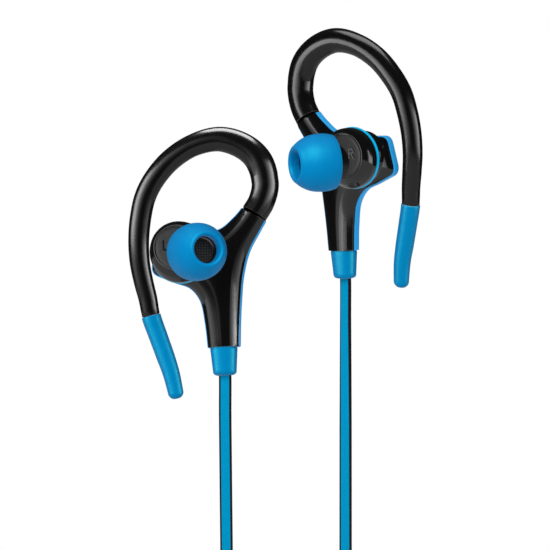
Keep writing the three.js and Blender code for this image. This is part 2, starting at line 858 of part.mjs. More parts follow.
// The 3.5 mm plug: soft boot, grip, and a pin of four contacts on one insulating core.
function plug() {
  const boot = [
    [0, 0],
    [1.9, 0],
    [2.2, 0.6],
    [2.6, 9.7],
    [0, 9.7],
  ];
  const grip = [
    [0, 10],
    [2.7, 10],
    [3.1, 10.6],
    [3.1, 20.2],
    [2.8, 20.6],
    [0, 20.6],
  ];
  const core = [
    [0, 20.8],
    [1.15, 20.8],
    [1.15, 24.9],
    [1.75, 24.9],
    [1.75, 25.4],
    [1.15, 25.4],
    [1.15, 27.9],
    [1.75, 27.9],
    [1.75, 28.4],
    [1.15, 28.4],
    [1.15, 30.7],
    [1.75, 30.7],
    [1.75, 31.2],
    [0, 31.2],
  ];
  const tip = [
    [0, 31.3],
    [1.7, 31.3],
    [1.72, 32.0],
    [1.1, 32.7],
    [1.6, 33.4],
    [0.9, 34.5],
    [0, 34.8],
  ];
  const contact = (name, from, to) => piece(name, ring(1.3, 1.75, from, to, 16), gold);
  const group = new THREE.Group();
  group.rotation.x = Math.PI / 2;
  group.position.set(...PLUG_END, FLOOR + PLUG_HEIGHT);
  group.add(
    piece("plug_boot", turned(boot, 16), blueRubber),
    piece("plug_grip", turned(grip, 20), satinBlack),
    piece("plug_core", turned(core, 16), satinBlack),
    contact("plug_sleeve", 20.8, 24.8),
    contact("plug_ring_2", 25.5, 27.8),
    contact("plug_ring_1", 28.5, 30.6),
    piece("plug_tip", turned(tip, 16), gold),
  );
  return group;
}

// ---- Assembly -----------------------------------------------------------------------------

const earphones = new THREE.Group();
earphones.add(
  bud("left", LEFT_EXIT, LEFT_TURN),
  bud("right", RIGHT_EXIT, RIGHT_TURN),
  piece("cable_left", cableStretch(LEFT_ROUTE, 90), cableBlue),
  piece("cable_left_coil", coil(BRANCH_COIL_RADII, 1), cableBlue),
  piece("cable_right_upper", cableStretch(RIGHT_UPPER_ROUTE, 54), cableBlue),
  piece("cable_right_lower", cableStretch(RIGHT_LOWER_ROUTE, 0), cableBlue),
  piece("cable_right_coil", coil(BRANCH_COIL_RADII, 0), cableBlue),
  piece("cable_main_coil", coil(MAIN_COIL_RADII, 2), cableBlue),
  piece("cable_main_end", cableStretch(MAIN_END_ROUTE, 0), cableBlue),
  splitter(),
  remote(),
  plug(),
);
TIE_ANGLES.forEach((angle, i) => earphones.add(tie("cable_tie_" + (i + 1), angle)));

export default earphones;
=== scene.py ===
import json
import math

import bmesh
import bpy
import numpy as np
from mathutils import Matrix, Vector
from mathutils.geometry import delaunay_2d_cdt

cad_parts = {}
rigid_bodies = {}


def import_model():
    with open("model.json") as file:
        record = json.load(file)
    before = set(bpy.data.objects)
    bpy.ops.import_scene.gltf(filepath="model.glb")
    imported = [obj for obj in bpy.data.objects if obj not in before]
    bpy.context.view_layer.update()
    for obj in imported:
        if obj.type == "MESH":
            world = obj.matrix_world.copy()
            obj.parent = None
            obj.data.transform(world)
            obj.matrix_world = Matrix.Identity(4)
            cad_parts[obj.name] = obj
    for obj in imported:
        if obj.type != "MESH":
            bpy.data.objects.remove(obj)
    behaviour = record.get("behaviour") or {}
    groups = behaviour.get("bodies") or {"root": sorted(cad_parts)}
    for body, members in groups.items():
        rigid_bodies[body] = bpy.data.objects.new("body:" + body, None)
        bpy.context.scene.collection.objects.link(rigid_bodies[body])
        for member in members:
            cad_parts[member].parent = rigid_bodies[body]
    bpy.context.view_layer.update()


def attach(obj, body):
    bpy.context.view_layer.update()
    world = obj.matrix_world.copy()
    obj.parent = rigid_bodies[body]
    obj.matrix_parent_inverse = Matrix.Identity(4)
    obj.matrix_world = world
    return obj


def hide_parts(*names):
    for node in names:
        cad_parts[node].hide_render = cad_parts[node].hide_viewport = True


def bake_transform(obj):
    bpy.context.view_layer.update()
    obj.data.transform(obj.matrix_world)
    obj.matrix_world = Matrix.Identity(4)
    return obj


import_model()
MM = 0.001
rad = math.radians

# ---- Sizes, in millimetres, as the CAD has them -------------------------------------------

# Where each cable leaves its strain relief, and the bud's yaw, pitch and roll in degrees.
BUDS = {
    "left": ((1.5, -5.2, -47.7), (-8, -5, -2.5)),
    "right": ((27.0, -7.0, -27.1), (-36, 4.5, -2.5)),
}

STEM_BOTTOM = 6.0
ARM_END = (7.7, 33.9)  # middle of the seam between the front arm and the hook
ARM_WAY = (0.514, 0.857)
WIDEST = 0.2  # height in the bud's frame at which both shells would be widest
FRONT_FACE = 2.8
REAR_FACE = -2.4
BAND = (-0.66, 0.94)
SEAM = 0.07
POD_CENTRE = (-7.5, 26.1)
NOZZLE_TILT = 32
NOZZLE_FOOT = (-4.3, 25.55, 10.0)
CABLE_WIDTH = 2.7
CABLE_THICKNESS = 1.1
FLOOR = -100.0
COIL_CENTRE = (13.5, 54.5)
LAYERS = (-97.65, -94.65, -91.65)
REMOTE_CENTRE = (32.9, 24.7)
REMOTE_HEADING = -9
REMOTE_SIZE = (7.4, 30.0, 4.6)
BUTTON_HEIGHT = 1.25
BUTTON_PROUD = 0.45
SPLITTER_ANGLE = 104
SPLITTER_DISTANCE = 12.1
SPLITTER_SIZE = (12.0, 3.6, 6.2)
SPLITTER_LEVEL = -96.45
SPLITTER_SLOT = (3.0, 1.5, 3.1)
PLUG_END = (-7.0, 27.0)
PLUG_HEIGHT = 3.1
HOOK_TIP_LENGTH = 18.2
HOOK_SET = {"left": 0.0, "right": 1.8}

HOOK_LINE = [
    (9.35, 36.6, -0.6), (10.25, 40.4, -0.8), (9.0, 45.4, -1.0), (6.0, 48.5, -1.1),
    (0.9, 50.4, -1.1), (-4.7, 49.5, -1.1), (-9.7, 46.7, -1.2), (-13.4, 42.9, -1.2),
    (-15.6, 39.2, -1.3), (-16.8, 35.0, -1.4), (-17.5, 30.0, -1.6), (-17.5, 25.3, -1.8),
    (-16.9, 21.0, -2.1), (-16.2, 17.4, -2.5), (-15.7, 13.7, -2.8), (-14.5, 9.6, -3.2),
    (-13.2, 5.3, -3.6), (-12.1, 1.4, -3.9), (-11.2, -3.7, -4.4),
]
HOOK_SHARES = (0, 0.1, 0.2, 0.3, 0.55, 0.7, 0.8, 0.86, 0.93, 1)
HOOK_RADII = (2.85, 2.95, 2.75, 2.4, 2.3, 2.1, 1.9, 2.0, 1.85, 1.35)

LEFT_ROUTE = [
    (1.5, -5.2, -48.0), (1.5, -5.2, -56), (1.6, -5.2, -66), (1.7, -5.2, -76), (1.8, -5.2, -86),
    (1.8, -5.1, -91.5), (1.8, -4.1, -95.5), (1.8, -1.2, -98.4), (1.8, 2.8, -99.4), (2.0, 7, -99.4),
    (2.9, 12, -99.2), (4.6, 17.5, -98.7), (7.0, 23, -97.9), (9.9, 27.8, -96.9), (13.2, 32, -95.9),
]
RIGHT_UPPER_ROUTE = [
    (27.0, -7.0, -27.4), (27.0, -7.0, -36), (27.0, -7.0, -48), (27.0, -7.0, -60), (27.0, -7.0, -72),
    (27.0, -7.0, -84), (27.0, -6.9, -91.5), (27.2, -5.8, -95.5), (27.8, -2.9, -98.3),
    (28.5, 1, -99.0), (29.4, 5.2, -98.5), (30.4, 9.6, -97.7),
]
RIGHT_LOWER_ROUTE = [
    (35.4, 40, -97.7), (35.6, 42, -97.8), (35.5, 44, -97.8), (35.1, 46, -97.7), (34.1, 49.8, -97.7),
]
MAIN_END_ROUTE = [
    (-6.7, 50.0, -91.9), (-6.8, 45.5, -92.7), (-6.9, 41.5, -94.2), (-7, 37, -95.8), (-7, 32, -96.8),
    (-7, 26.2, -96.9),
]

# ---- Camera --------------------------------------------------------------------------------


def in_scene(name, data):
    """A new object."""
    obj = bpy.data.objects.new(name, data)
    bpy.context.scene.collection.objects.link(obj)
    return obj


VIEW_CENTRE = (12.05, -10.0, -26.4)
VIEW_WIDTH = 116.3
CAMERA_DISTANCE = 3000.0


def make_camera():
    camera = in_scene("camera", bpy.data.cameras.new("camera"))
    camera.data.sensor_width = 36
    camera.data.lens = 36 * CAMERA_DISTANCE / VIEW_WIDTH
    camera.location = Vector(VIEW_CENTRE) * MM - Vector((0, CAMERA_DISTANCE * MM, 0))
    camera.rotation_euler = (rad(90), 0, 0)
    camera.data.clip_start, camera.data.clip_end = 0.1, 20
    bpy.context.scene.camera = camera


make_camera()

# ---- Curves and sections -------------------------------------------------------------------


def even(line, spacing):
    """The same polyline with its points an even distance apart."""
    line = np.asarray(line, float)
    along = np.concatenate([[0], np.cumsum(np.linalg.norm(np.diff(line, axis=0), axis=1))])
    at = np.linspace(0, along[-1], max(2, round(along[-1] / spacing) + 1))
    return np.stack([np.interp(at, along, line[:, i]) for i in range(line.shape[1])], 1)


def curve_through(points, spacing):
    """A centripetal Catmull-Rom curve through the points, in even steps."""
    points = np.asarray(points, float)
    ends = 2 * points[0] - points[1], 2 * points[-1] - points[-2]
    padded = np.vstack([ends[0], points, ends[1]])
    s = np.linspace(0, 1, 24, endpoint=False)[:, None]
    runs = []
    for p0, p1, p2, p3 in zip(padded, padded[1:], padded[2:], padded[3:]):
        a, b, c = (
            math.sqrt(max(np.linalg.norm(v - u), 1e-9)) for u, v in ((p0, p1), (p1, p2), (p2, p3))
        )
        out = b * ((p1 - p0) / a - (p2 - p0) / (a + b) + (p2 - p1) / b)
        into = b * ((p2 - p1) / b - (p3 - p1) / (b + c) + (p3 - p2) / c)
        runs.append(
            (2 * s**3 - 3 * s**2 + 1) * p1
            + (s**3 - 2 * s**2 + s) * out
            + (3 * s**2 - 2 * s**3) * p2
            + (s**3 - s**2) * into
        )
    return even(np.vstack([*runs, points[-1:]]), spacing)


def corner(start, middle, end):
    """A quadratic curve round a corner, without its last point."""
    s = np.linspace(0, 1, 8, endpoint=False)[:, None]
    start, middle, end = (np.asarray(p, float) for p in (start, middle, end))
    return (1 - s) ** 2 * start + 2 * s * (1 - s) * middle + s**2 * end


def filleted(corners, steps=5, closed=False):
    """A polyline whose corners, given as (x, y, radius), are rounded."""
    count = len(corners)
    out = []
    for i, (x, y, radius) in enumerate(corners):
        here = np.array((x, y), float)
        if radius == 0 or (not closed and i in (0, count - 1)):
            out.append(here)
            continue
        before = np.array(corners[i - 1][:2], float) - here
        after = np.array(corners[(i + 1) % count][:2], float) - here
        u, v = before / np.linalg.norm(before), after / np.linalg.norm(after)
        half = math.acos(np.clip(u @ v, -1, 1)) / 2
        if half > rad(88):
            out.append(here)
            continue
        reach = radius / math.tan(half)
        centre = here + (u + v) / np.linalg.norm(u + v) * radius / math.sin(half)
        first, last = here + u * reach - centre, here + v * reach - centre
        turn = math.atan2(first[0] * last[1] - first[1] * last[0], first @ last)
        for k in range(steps + 1):
            angle = turn * k / steps
            c, s = math.cos(angle), math.sin(angle)
            out.append(centre + (c * first[0] - s * first[1], s * first[0] + c * first[1]))
    return np.array(out)


def oval(width, depth, power, count):
    """A superellipse section."""
    angle = np.linspace(0, 2 * math.pi, count, endpoint=False)
    c, s = np.cos(angle), np.sin(angle)
    x = width / 2 * np.sign(c) * np.abs(c) ** (2 / power)
    return np.stack([x, depth / 2 * np.sign(s) * np.abs(s) ** (2 / power)], 1)


# ---- Shapes --------------------------------------------------------------------------------


class Shape:
    """Points, faces, and which of its piece's materials each face has."""

    def __init__(self):
        self.points = np.zeros((0, 3))
        self.faces = []
        self.paint = []

    def add(self, points, faces, paint=0):
        base = len(self.points)
        self.points = np.vstack([self.points, np.asarray(points, float)])
        self.faces += [tuple(base + i for i in face) for face in faces]
        self.paint += [paint] * len(faces) if isinstance(paint, int) else list(paint)
        return self

    def moved(self, matrix):
        m = np.array(matrix)
        self.points = self.points @ m[:3, :3].T + m[:3, 3]
        return self


def turned(profile, segments=96):
    """A solid of revolution about z from (radius, z) points. It may be open or closed."""
    points, rings = [], []
    angles = np.linspace(0, 2 * math.pi, segments, endpoint=False)
    for r, z in profile:
        if r < 1e-6:
            rings.append([len(points)])
            points.append((0, 0, z))
        else:
            rings.append(list(range(len(points), len(points) + segments)))
            points += [(r * math.cos(a), r * math.sin(a), z) for a in angles]
    faces = []
    for low, high in zip(rings, rings[1:]):
        for i in range(segments):
            j = (i + 1) % segments
            if len(low) == 1 and len(high) == 1:
                continue
            if len(low) == 1:
                faces.append((low[0], high[i], high[j]))
            elif len(high) == 1:
                faces.append((low[i], high[0], low[j]))
            else:
                faces.append((low[i], high[i], high[j], low[j]))
    return Shape().add(points, faces)


def quads(a, b, count):
    """Faces between two rings of points, from the number of each ring's first point."""
    return [(a + i, a + (i + 1) % count, b + (i + 1) % count, b + i) for i in range(count)]


def swept(centres, sides, tops, sections, paint=None):
    """A solid with one section, or one for each centre, set across a line of centres. paint is
    a material for each side of the section."""
    centres, sides, tops = (np.asarray(a, float) for a in (centres, sides, tops))
    sections = np.asarray(sections, float)
    if sections.ndim == 2:
        sections = np.broadcast_to(sections, (len(centres), *sections.shape))
    count, around = sections.shape[:2]
    points = (
        centres[:, None]
        + sections[:, :, :1] * sides[:, None]
        + sections[:, :, 1:2] * tops[:, None]
    ).reshape(-1, 3)
    faces = []
    for i in range(count - 1):
        faces += quads(i * around, (i + 1) * around, around)
    faces.append(tuple(range(around - 1, -1, -1)))
    faces.append(tuple(range((count - 1) * around, count * around)))
    return Shape().add(points, faces, (paint or [0] * around) * (count - 1) + [0, 0])


def ways_along(line):
    """The unit direction of a line at each of its points."""
    along = np.gradient(line, axis=0)
    return along / np.linalg.norm(along, axis=1)[:, None]


def carried(centres, first_side):
    """Side and top directions along a line that turn no more than the line makes them."""
    along = ways_along(centres)
    sides = []
    side = np.asarray(first_side, float)
    for way in along:
        side = side - (side @ way) * way
        side = side / np.linalg.norm(side)
        sides.append(side)
    sides = np.array(sides)
    return sides, np.cross(along, sides)


def hinted(centres, hints):
    """Side and top directions along a line, the side as near as it can be to the hints."""
    along = ways_along(centres)
    sides = hints - np.sum(hints * along, 1)[:, None] * along
    sides /= np.linalg.norm(sides, axis=1)[:, None]
    return sides, np.cross(along, sides)


def slab(outline, low, high):
    """A flat plate between two heights."""
    count = len(outline)
    points = np.vstack([np.column_stack([outline, np.full(count, z)]) for z in (low, high)])
    ends = [tuple(range(count - 1, -1, -1)), tuple(range(count, 2 * count))]
    return Shape().add(points, quads(0, count, count) + ends)


# ---- Pieces --------------------------------------------------------------------------------


def bud_matrix(side):
    """From the bud's frame in millimetres to the row frame in metres."""
    place, (yaw, pitch, roll) = BUDS[side]
    mirror = Matrix.Diagonal((-1 if side == "right" else 1, 1, 1, 1))
    return (
        Matrix.Translation(Vector(place) * MM)
        @ Matrix.Rotation(rad(roll), 4, "Y")
        @ Matrix.Rotation(rad(pitch), 4, "X")
        @ Matrix.Rotation(rad(yaw), 4, "Z")
        @ mirror
        @ Matrix.Rotation(rad(90), 4, "X")
        @ Matrix.Scale(MM, 4)
    )


IN_METRES = Matrix.Scale(MM, 4)
SHARP = rad(42)  # the angle from which an edge is a sharp one


def standing(at, axis="Z", degrees=0.0):
    """From a part's own frame in millimetres to the row frame in metres."""
    return IN_METRES @ Matrix.Translation(at) @ Matrix.Rotation(rad(degrees), 4, axis)


def applied(obj):
    """Puts an object's modifiers into its mesh."""
    graph = bpy.context.evaluated_depsgraph_get()
    made = bpy.data.meshes.new_from_object(obj.evaluated_get(graph))
    obj.modifiers.clear()
    obj.data = made


def make_object(name, shape, place, materials, cuts=()):
    """A closed mesh object. cuts are planes (point, way), in the shape's frame, beyond which
    it's cut off."""
    bm = bmesh.new()
    verts = [bm.verts.new(p) for p in shape.points]
    for face, paint in zip(shape.faces, shape.paint):
        made = bm.faces.new([verts[i] for i in face])
        made.material_index = paint
    for point, way in cuts:
        geometry = [*bm.verts, *bm.edges, *bm.faces]
        bmesh.ops.bisect_plane(
            bm, geom=geometry, dist=1e-5, plane_co=point, plane_no=way, clear_outer=True
        )
        open_edges = [e for e in bm.edges if e.is_boundary]
        bmesh.ops.holes_fill(bm, edges=open_edges, sides=0)
    bm.transform(place)
    bmesh.ops.recalc_face_normals(bm, faces=bm.faces)
    mesh = bpy.data.meshes.new(name)
    bm.to_mesh(mesh)
    bm.free()
    for material in materials:
        mesh.materials.append(material)
    return in_scene(name, mesh)


def carve(obj, shapes, place):
    """Takes closed shapes out of an object."""
    for shape in shapes:
        cutter = make_object(obj.name + "_cutter", shape, place, [])
        modifier = obj.modifiers.new("carve", "BOOLEAN")
        modifier.operation = "DIFFERENCE"
        modifier.solver = "EXACT"
        modifier.object = cutter
        applied(obj)
        bpy.data.objects.remove(cutter)


def soften(obj, bevel):
    """Rounds an object's edges by bevel millimetres, and shades it smooth."""
    if bevel:
        modifier = obj.modifiers.new("bevel", "BEVEL")
        modifier.width = bevel * MM
        modifier.segments = 3
        modifier.limit_method = "ANGLE"
        modifier.angle_limit = SHARP
        normals = obj.modifiers.new("normals", "WEIGHTED_NORMAL")
        normals.keep_sharp = True
        obj.data.shade_smooth()
        applied(obj)
    else:
        obj.data.shade_smooth()
        obj.data.set_sharp_from_angle(angle=SHARP)


def piece(
    name, shape, looks, stands_for, body="root", place=IN_METRES, bevel=0, cuts=(), holes=()
):
    """One visible piece of the object. looks names its materials, and the first of them
    goes in its first material slot."""
    looks = looks if isinstance(looks, tuple) else (looks,)
    materials = [MATERIALS[look] for look in looks]
    obj = make_object(name, shape, place, materials, cuts)
    carve(obj, holes, place)
    soften(obj, bevel)
    if body:
        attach(obj, body)
    if stands_for:
        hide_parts(*stands_for)
    return obj


# ---- Materials -----------------------------------------------------------------------------


class Finish:
    """A principled material with procedural detail in the object's own coordinates."""

    def __init__(self, name, color, roughness, **sockets):
        self.name = name
        self.material = bpy.data.materials.new(name)
        self.material.use_nodes = True
        self.tree = self.material.node_tree
        self.shader = self.tree.nodes["Principled BSDF"]
        self.shader.inputs["Base Color"].default_value = (*color, 1)
        self.shader.inputs["Roughness"].default_value = roughness
        for socket, value in sockets.items():
            self.shader.inputs[socket.replace("_", " ")].default_value = value
        self.color = color
        self.roughness = roughness

    def node(self, kind, inputs=None, **settings):
        made = self.tree.nodes.new("ShaderNode" + kind)
        for key, value in settings.items():
            setattr(made, key, value)
        for key, value in (inputs or {}).items():
            if isinstance(value, bpy.types.NodeSocket):
                self.tree.links.new(value, made.inputs[key])
            else:
                made.inputs[key].default_value = value
        return made

    def where(self, stretch=(1, 1, 1)):
        """Object coordinates in millimetres, stretched."""
        place = self.node("TexCoord").outputs["Object"]
        scale = tuple(1000 * s for s in stretch)
        return self.node("Mapping", {"Vector": place, "Scale": scale}).outputs["Vector"]

    def noise(self, size, detail=2.0, stretch=(1, 1, 1)):
        """Noise whose features are about size millimetres across."""
        inputs = {"Vector": self.where(stretch), "Scale": 1 / size, "Detail": detail}
        return self.node("TexNoise", inputs).outputs["Fac"]

    def spread(self, value, low, high):
        """A noise value mapped onto a range of numbers."""
        inputs = {"Value": value, "From Min": 0.3, "From Max": 0.7, "To Min": low, "To Max": high}
        return self.node("MapRange", inputs).outputs["Result"]

    def vary_roughness(self, size, by):
        value = self.noise(size)
        result = self.spread(value, self.roughness - by, self.roughness + by)
        self.tree.links.new(result, self.shader.inputs["Roughness"])
        return self

    def vary_color(self, size, by):
        """Lightens and darkens the colour by a share."""
        value = self.noise(size)
        dark = (*(c * (1 - by) for c in self.color), 1)
        light = (*(min(1, c * (1 + by)) for c in self.color), 1)
        mixed = self.node("Mix", data_type="RGBA")
        self.tree.links.new(self.spread(value, 0, 1), mixed.inputs["Factor"])
        mixed.inputs[6].default_value = dark
        mixed.inputs[7].default_value = light
        self.tree.links.new(mixed.outputs[2], self.shader.inputs["Base Color"])
        return self

    def bump(self, height, depth):
        """Relief of that depth in millimetres from a height value."""
        inputs = {"Height": height, "Distance": depth * MM, "Strength": 1.0}
        old = self.shader.inputs["Normal"].links
        if old:
            inputs["Normal"] = old[0].from_socket
        made = self.node("Bump", inputs)
        self.tree.links.new(made.outputs["Normal"], self.shader.inputs["Normal"])
        return self

    def grain(self, size, depth, **more):
        return self.bump(self.noise(size, **more), depth)


TINTED = {"Specular_IOR_Level": 0.4, "Specular_Tint": (0.05, 1.0, 0.8, 1.0)}


def painted_glow(color, strength):
    """Painted glow: a faint light of its own that brightens the part, though it is no lamp."""
    return {"Emission_Color": (*color, 1.0), "Emission_Strength": strength}


def make_materials():
    made = {}

    def add(finish):
        made[finish.name] = finish.material

    coat = {"Coat_Weight": 0.5, "Coat_Roughness": 0.06}
    gloss = Finish("gloss_black", (0.0035, 0.0035, 0.0038), 0.13, **coat)
    add(gloss.vary_roughness(3.0, 0.02).grain(1.6, 0.004, detail=1.0))
    satin = Finish("satin_black", (0.007, 0.007, 0.0075), 0.38)
    add(satin.vary_roughness(1.2, 0.05).grain(0.12, 0.008))
    rubber = Finish("rubber_black", (0.003, 0.003, 0.0035), 0.2)
    add(rubber.vary_roughness(2.0, 0.02).grain(0.3, 0.0012))
    # Painted shade: a near-black finish that reflects nothing, for the filler in the hook's seam,
    # standing in for the shade in the gap.
    sunk = Finish("seam_black", (0.0015, 0.0015, 0.0015), 0.9, Specular_IOR_Level=0.0)
    add(sunk.vary_roughness(1.0, 0.05).grain(0.2, 0.01))
    silicone = Finish("blue_silicone", (0.0, 0.28, 0.70), 0.5, **TINTED)
    add(silicone.vary_color(2.5, 0.02).vary_roughness(1.5, 0.04).grain(0.2, 0.004))
    soft = Finish("blue_rubber", (0.0, 0.285, 0.66), 0.33, **TINTED)
    add(soft.vary_color(2.5, 0.02).vary_roughness(1.5, 0.03).grain(0.2, 0.004))
    # Painted glow on the band: its emission brightens it beyond what the lamps give.
    bright = {"Specular_Tint": (0.2, 0.9, 1.0, 1.0), **painted_glow((0.01, 0.36, 0.85), 0.26)}
    band = Finish("blue_band", (0.04, 0.42, 0.88), 0.3, **bright)
    add(band.vary_roughness(1.0, 0.03).grain(0.8, 0.003))
    # Painted glow on the ring: its emission brightens it beyond what the lamps give.
    ring = Finish("cyan_ring", (0.0, 0.52, 0.92), 0.22, **painted_glow((0.0, 0.45, 0.9), 0.2))
    add(ring.vary_roughness(1.0, 0.03).grain(0.8, 0.002))
    grey = Finish("dark_grey", (0.017, 0.017, 0.018), 0.4)
    add(grey.vary_color(0.3, 0.12).vary_roughness(0.6, 0.05).grain(0.1, 0.012))
    blue = Finish("cable_blue", (0.0, 0.38, 0.73), 0.42, **TINTED)
    add(blue.vary_color(1.5, 0.03).vary_roughness(0.8, 0.04).grain(0.15, 0.006))
    black = Finish("cable_black", (0.011, 0.007, 0.006), 0.4)
    add(black.vary_roughness(0.8, 0.05).grain(0.15, 0.008))
    steel = Finish("steel", (0.55, 0.56, 0.58), 0.28, Metallic=1.0)
    add(steel.vary_roughness(0.5, 0.06).grain(0.3, 0.003, stretch=(1, 8, 1)))
    gold = Finish("gold", (0.83, 0.6, 0.27), 0.2, Metallic=1.0)
    add(gold.vary_roughness(0.6, 0.05).grain(0.12, 0.002, stretch=(1, 12, 1)))
    board = Finish("board", (0.02, 0.14, 0.06), 0.3)
    add(board.vary_color(0.8, 0.2).grain(0.4, 0.01))
    film = Finish("film", (0.62, 0.58, 0.48), 0.3)
    add(film.vary_color(0.8, 0.05).grain(0.6, 0.01))
    strap = Finish("strap", (0.012, 0.012, 0.013), 0.75, Sheen_Weight=0.4)
    add(strap.vary_color(0.3, 0.5).grain(0.22, 0.12, detail=4.0))
    mesh = Finish("woven_mesh", (0.022, 0.022, 0.023), 0.42, Metallic=0.4)
    add(weave(mesh, 0.34).grain(0.3, 0.05, detail=3.0))
    return made


def weave(finish, pitch):
    """Crossed wires, a pitch of millimetres apart."""
    waves = []
    for direction in ("X", "Z"):
        inputs = {"Vector": finish.where(), "Scale": 2 * math.pi / (20 * pitch), "Distortion": 0.6}
        inputs["Detail"] = 1.0
        made = finish.node("TexWave", inputs, wave_type="BANDS", bands_direction=direction)
        waves.append(made.outputs["Fac"])
    inputs = {0: waves[0], 1: waves[1]}
    height = finish.node("Math", inputs, operation="MULTIPLY").outputs[0]
    shade = finish.node("ValToRGB", {"Fac": height})
    shade.color_ramp.elements[0].color = (0.004, 0.004, 0.004, 1)
    shade.color_ramp.elements[1].color = (0.2, 0.2, 0.2, 1)
    finish.tree.links.new(shade.outputs["Color"], finish.shader.inputs["Base Color"])
    return finish.bump(height, 0.06)


MATERIALS = make_materials()

# ---- Cords ---------------------------------------------------------------------------------


def ribbon_section():
    """Half-round black edges and a raised blue strip with three shallow channels on each
    face. Returns the section and the material of each of its sides."""
    edge = CABLE_WIDTH / 2
    strip = 0.9
    top = CABLE_THICKNESS / 2
    side_round = [
        (edge - 0.36 * (1 - math.cos(a)), 0.42 * math.sin(a))
        for a in np.linspace(0, math.pi / 2, 6)
    ]
    face = [(strip + 0.03, 0.43), (strip, top - 0.03), (strip - 0.06, top)]
    for centre in (0.56, 0.0, -0.56):
        face += [(centre + 0.1, top), (centre, top - 0.05), (centre - 0.1, top)]
    face += [(-strip + 0.06, top), (-strip, top - 0.03), (-strip - 0.03, 0.43)]
    upper = side_round + face + [(-x, y) for x, y in side_round[:0:-1]]
    lower = [(-x, -y) for x, y in upper]
    section = upper + lower
    black_sides = len(side_round)
    blue_sides = len(face) - 1
    half = [1] * black_sides + [0] * blue_sides + [1] * (len(upper) - black_sides - blue_sides)
    return np.array(section), half + half


SECTION, SECTION_PAINT = ribbon_section()


def spiral(start, end, radii, levels):
    """Turns about the coil's middle between two angles, in degrees."""
    angles = np.radians(np.linspace(start, end, max(2, round(abs(end - start) / 12) + 1)))
    radius = np.linspace(*radii, len(angles))
    level = np.linspace(*levels, len(angles))
    x = COIL_CENTRE[0] + radius * np.cos(angles)
    y = COIL_CENTRE[1] + radius * np.sin(angles)
    return np.column_stack([x, y, level]).tolist()


def splitter_end(way):
    """The middle of the splitter's rear end (-1) or front end (1)."""
    angle = rad(SPLITTER_ANGLE)
    heading = angle + math.pi / 2
    x = COIL_CENTRE[0] + SPLITTER_DISTANCE * math.cos(angle)
    y = COIL_CENTRE[1] + SPLITTER_DISTANCE * math.sin(angle)
    reach = way * SPLITTER_SIZE[0] / 2
    return x + reach * math.cos(heading), y + reach * math.sin(heading)


def to_splitter(level):
    """The last stretch of a branch, from the coil into the splitter's rear end."""
    x, y = splitter_end(-1)
    return [(x + 3.8, y + 0.7, level), (x + 0.8, y + 0.3, level), (x - 0.5, y - 0.1, level)]


def make_cord(name, route, hints, nodes):
    """One flat cable. hints are (share of the length, direction of its width)."""
    centres = curve_through(route, CORD_STEP)
    shares = np.linspace(0, 1, len(centres))
    at = [share for share, _ in hints]
    ways = np.array([way for _, way in hints], float)
    blend = np.stack([np.interp(shares, at, ways[:, i]) for i in range(3)], 1)
    sides, tops = hinted(centres, blend)
    shape = swept(centres, sides, tops, SECTION, SECTION_PAINT)
    obj = piece(name, shape, ("cable_blue", "cable_black"), nodes)


def inside_boot(side):
    """A point on the cable's way inside the strain relief, as a row-frame point."""
    return tuple(bud_matrix(side) @ Vector((0, 2.5, 0)) / MM)


CORD_STEP = 0.7
ACROSS, UP = (1, 0, 0), (0, 0, 1)


def make_cords():
    route = [inside_boot("left")] + LEFT_ROUTE
    route += spiral(-70, 770, (19.2, 16.2), (LAYERS[1], LAYERS[1])) + to_splitter(LAYERS[1])
    hints = [(0, (0.99, -0.139, 0)), (0.1, (0.99, -0.139, 0)), (0.17, ACROSS), (0.2, ACROSS)]
    hints += [(0.29, UP), (1, UP)]
    nodes = ("cable_left", "cable_left_coil", "cable_anchor_left")
    make_cord("cable_left_lead", route, hints, nodes)
    route = [inside_boot("right")] + RIGHT_UPPER_ROUTE
    hints = [(0, (0.81, -0.586, 0)), (0.12, (0.81, -0.586, 0)), (0.38, (0.94, -0.341, 0))]
    hints += [(0.66, (0.96, -0.28, 0)), (0.85, ACROSS), (1, ACROSS)]
    nodes = ("cable_right_upper", "cable_anchor_right")
    make_cord("cable_right_upper_lead", route, hints, nodes)
    route = RIGHT_LOWER_ROUTE + spiral(0, 770, (18.95, 16.2), (LAYERS[0], LAYERS[0]))
    route += to_splitter(LAYERS[0])
    hints = [(0, ACROSS), (0.02, ACROSS), (0.06, UP), (1, UP)]
    nodes = ("cable_right_lower", "cable_right_coil")
    make_cord("cable_right_lower_lead", route, hints, nodes)
    x, y = splitter_end(1)
    route = [(x + 0.5, y + 0.1, SPLITTER_LEVEL + 0.3), (x - 0.9, y - 0.35, SPLITTER_LEVEL + 0.3)]
    route += spiral(150, 214, (12.6, 12.2), (SPLITTER_LEVEL + 0.9, LAYERS[2]))
    route += spiral(240, 2700, (12.15, 20.1), (LAYERS[2], LAYERS[2]))[:-1] + MAIN_END_ROUTE
    nodes = ("cable_main_coil", "cable_main_end")
    make_cord("cable_main_lead", route, [(0, UP), (1, UP)], nodes)


make_cords()

# ---- Housing -------------------------------------------------------------------------------


def housing_outline():
    """The housing's outline, anticlockwise, with the stem and the front arm run on past the
    planes where they're cut off."""
    rear = [
        (-2.85, -1.0), (-3.35, 6.0), (-3.75, 11.4), (-4.6, 16.1), (-6.6, 18.8), (-9.8, 20.2),
        (-13.4, 21.8),
    ]
    top = [(-11.6, 30.3), (-6.0, 30.3), (0.2, 31.1), (3.0, 33.1), (5.2, 35.4), (8.8, 41.4)]
    front = [
        (13.8, 38.4), (10.2, 32.4), (8.65, 29.9), (6.35, 25.9), (4.9, 20.9), (4.25, 16.0),
        (3.8, 11.0), (3.5, 6.0), (3.1, -1.0),
    ]
    line = np.vstack(
        [
            curve_through(rear, 0.2),
            corner(rear[-1], (-14.8, 22.4), (-14.5, 24.2)),
            [(-14.5, 24.2)],
            corner((-13.4, 28.9), (-13.0, 30.3), top[0]),
            curve_through(top, 0.2),
            curve_through(front, 0.2),
            [rear[0]],
        ]
    )
    return even(line, 0.3)[:-1][::-1]


OUTLINE = housing_outline()


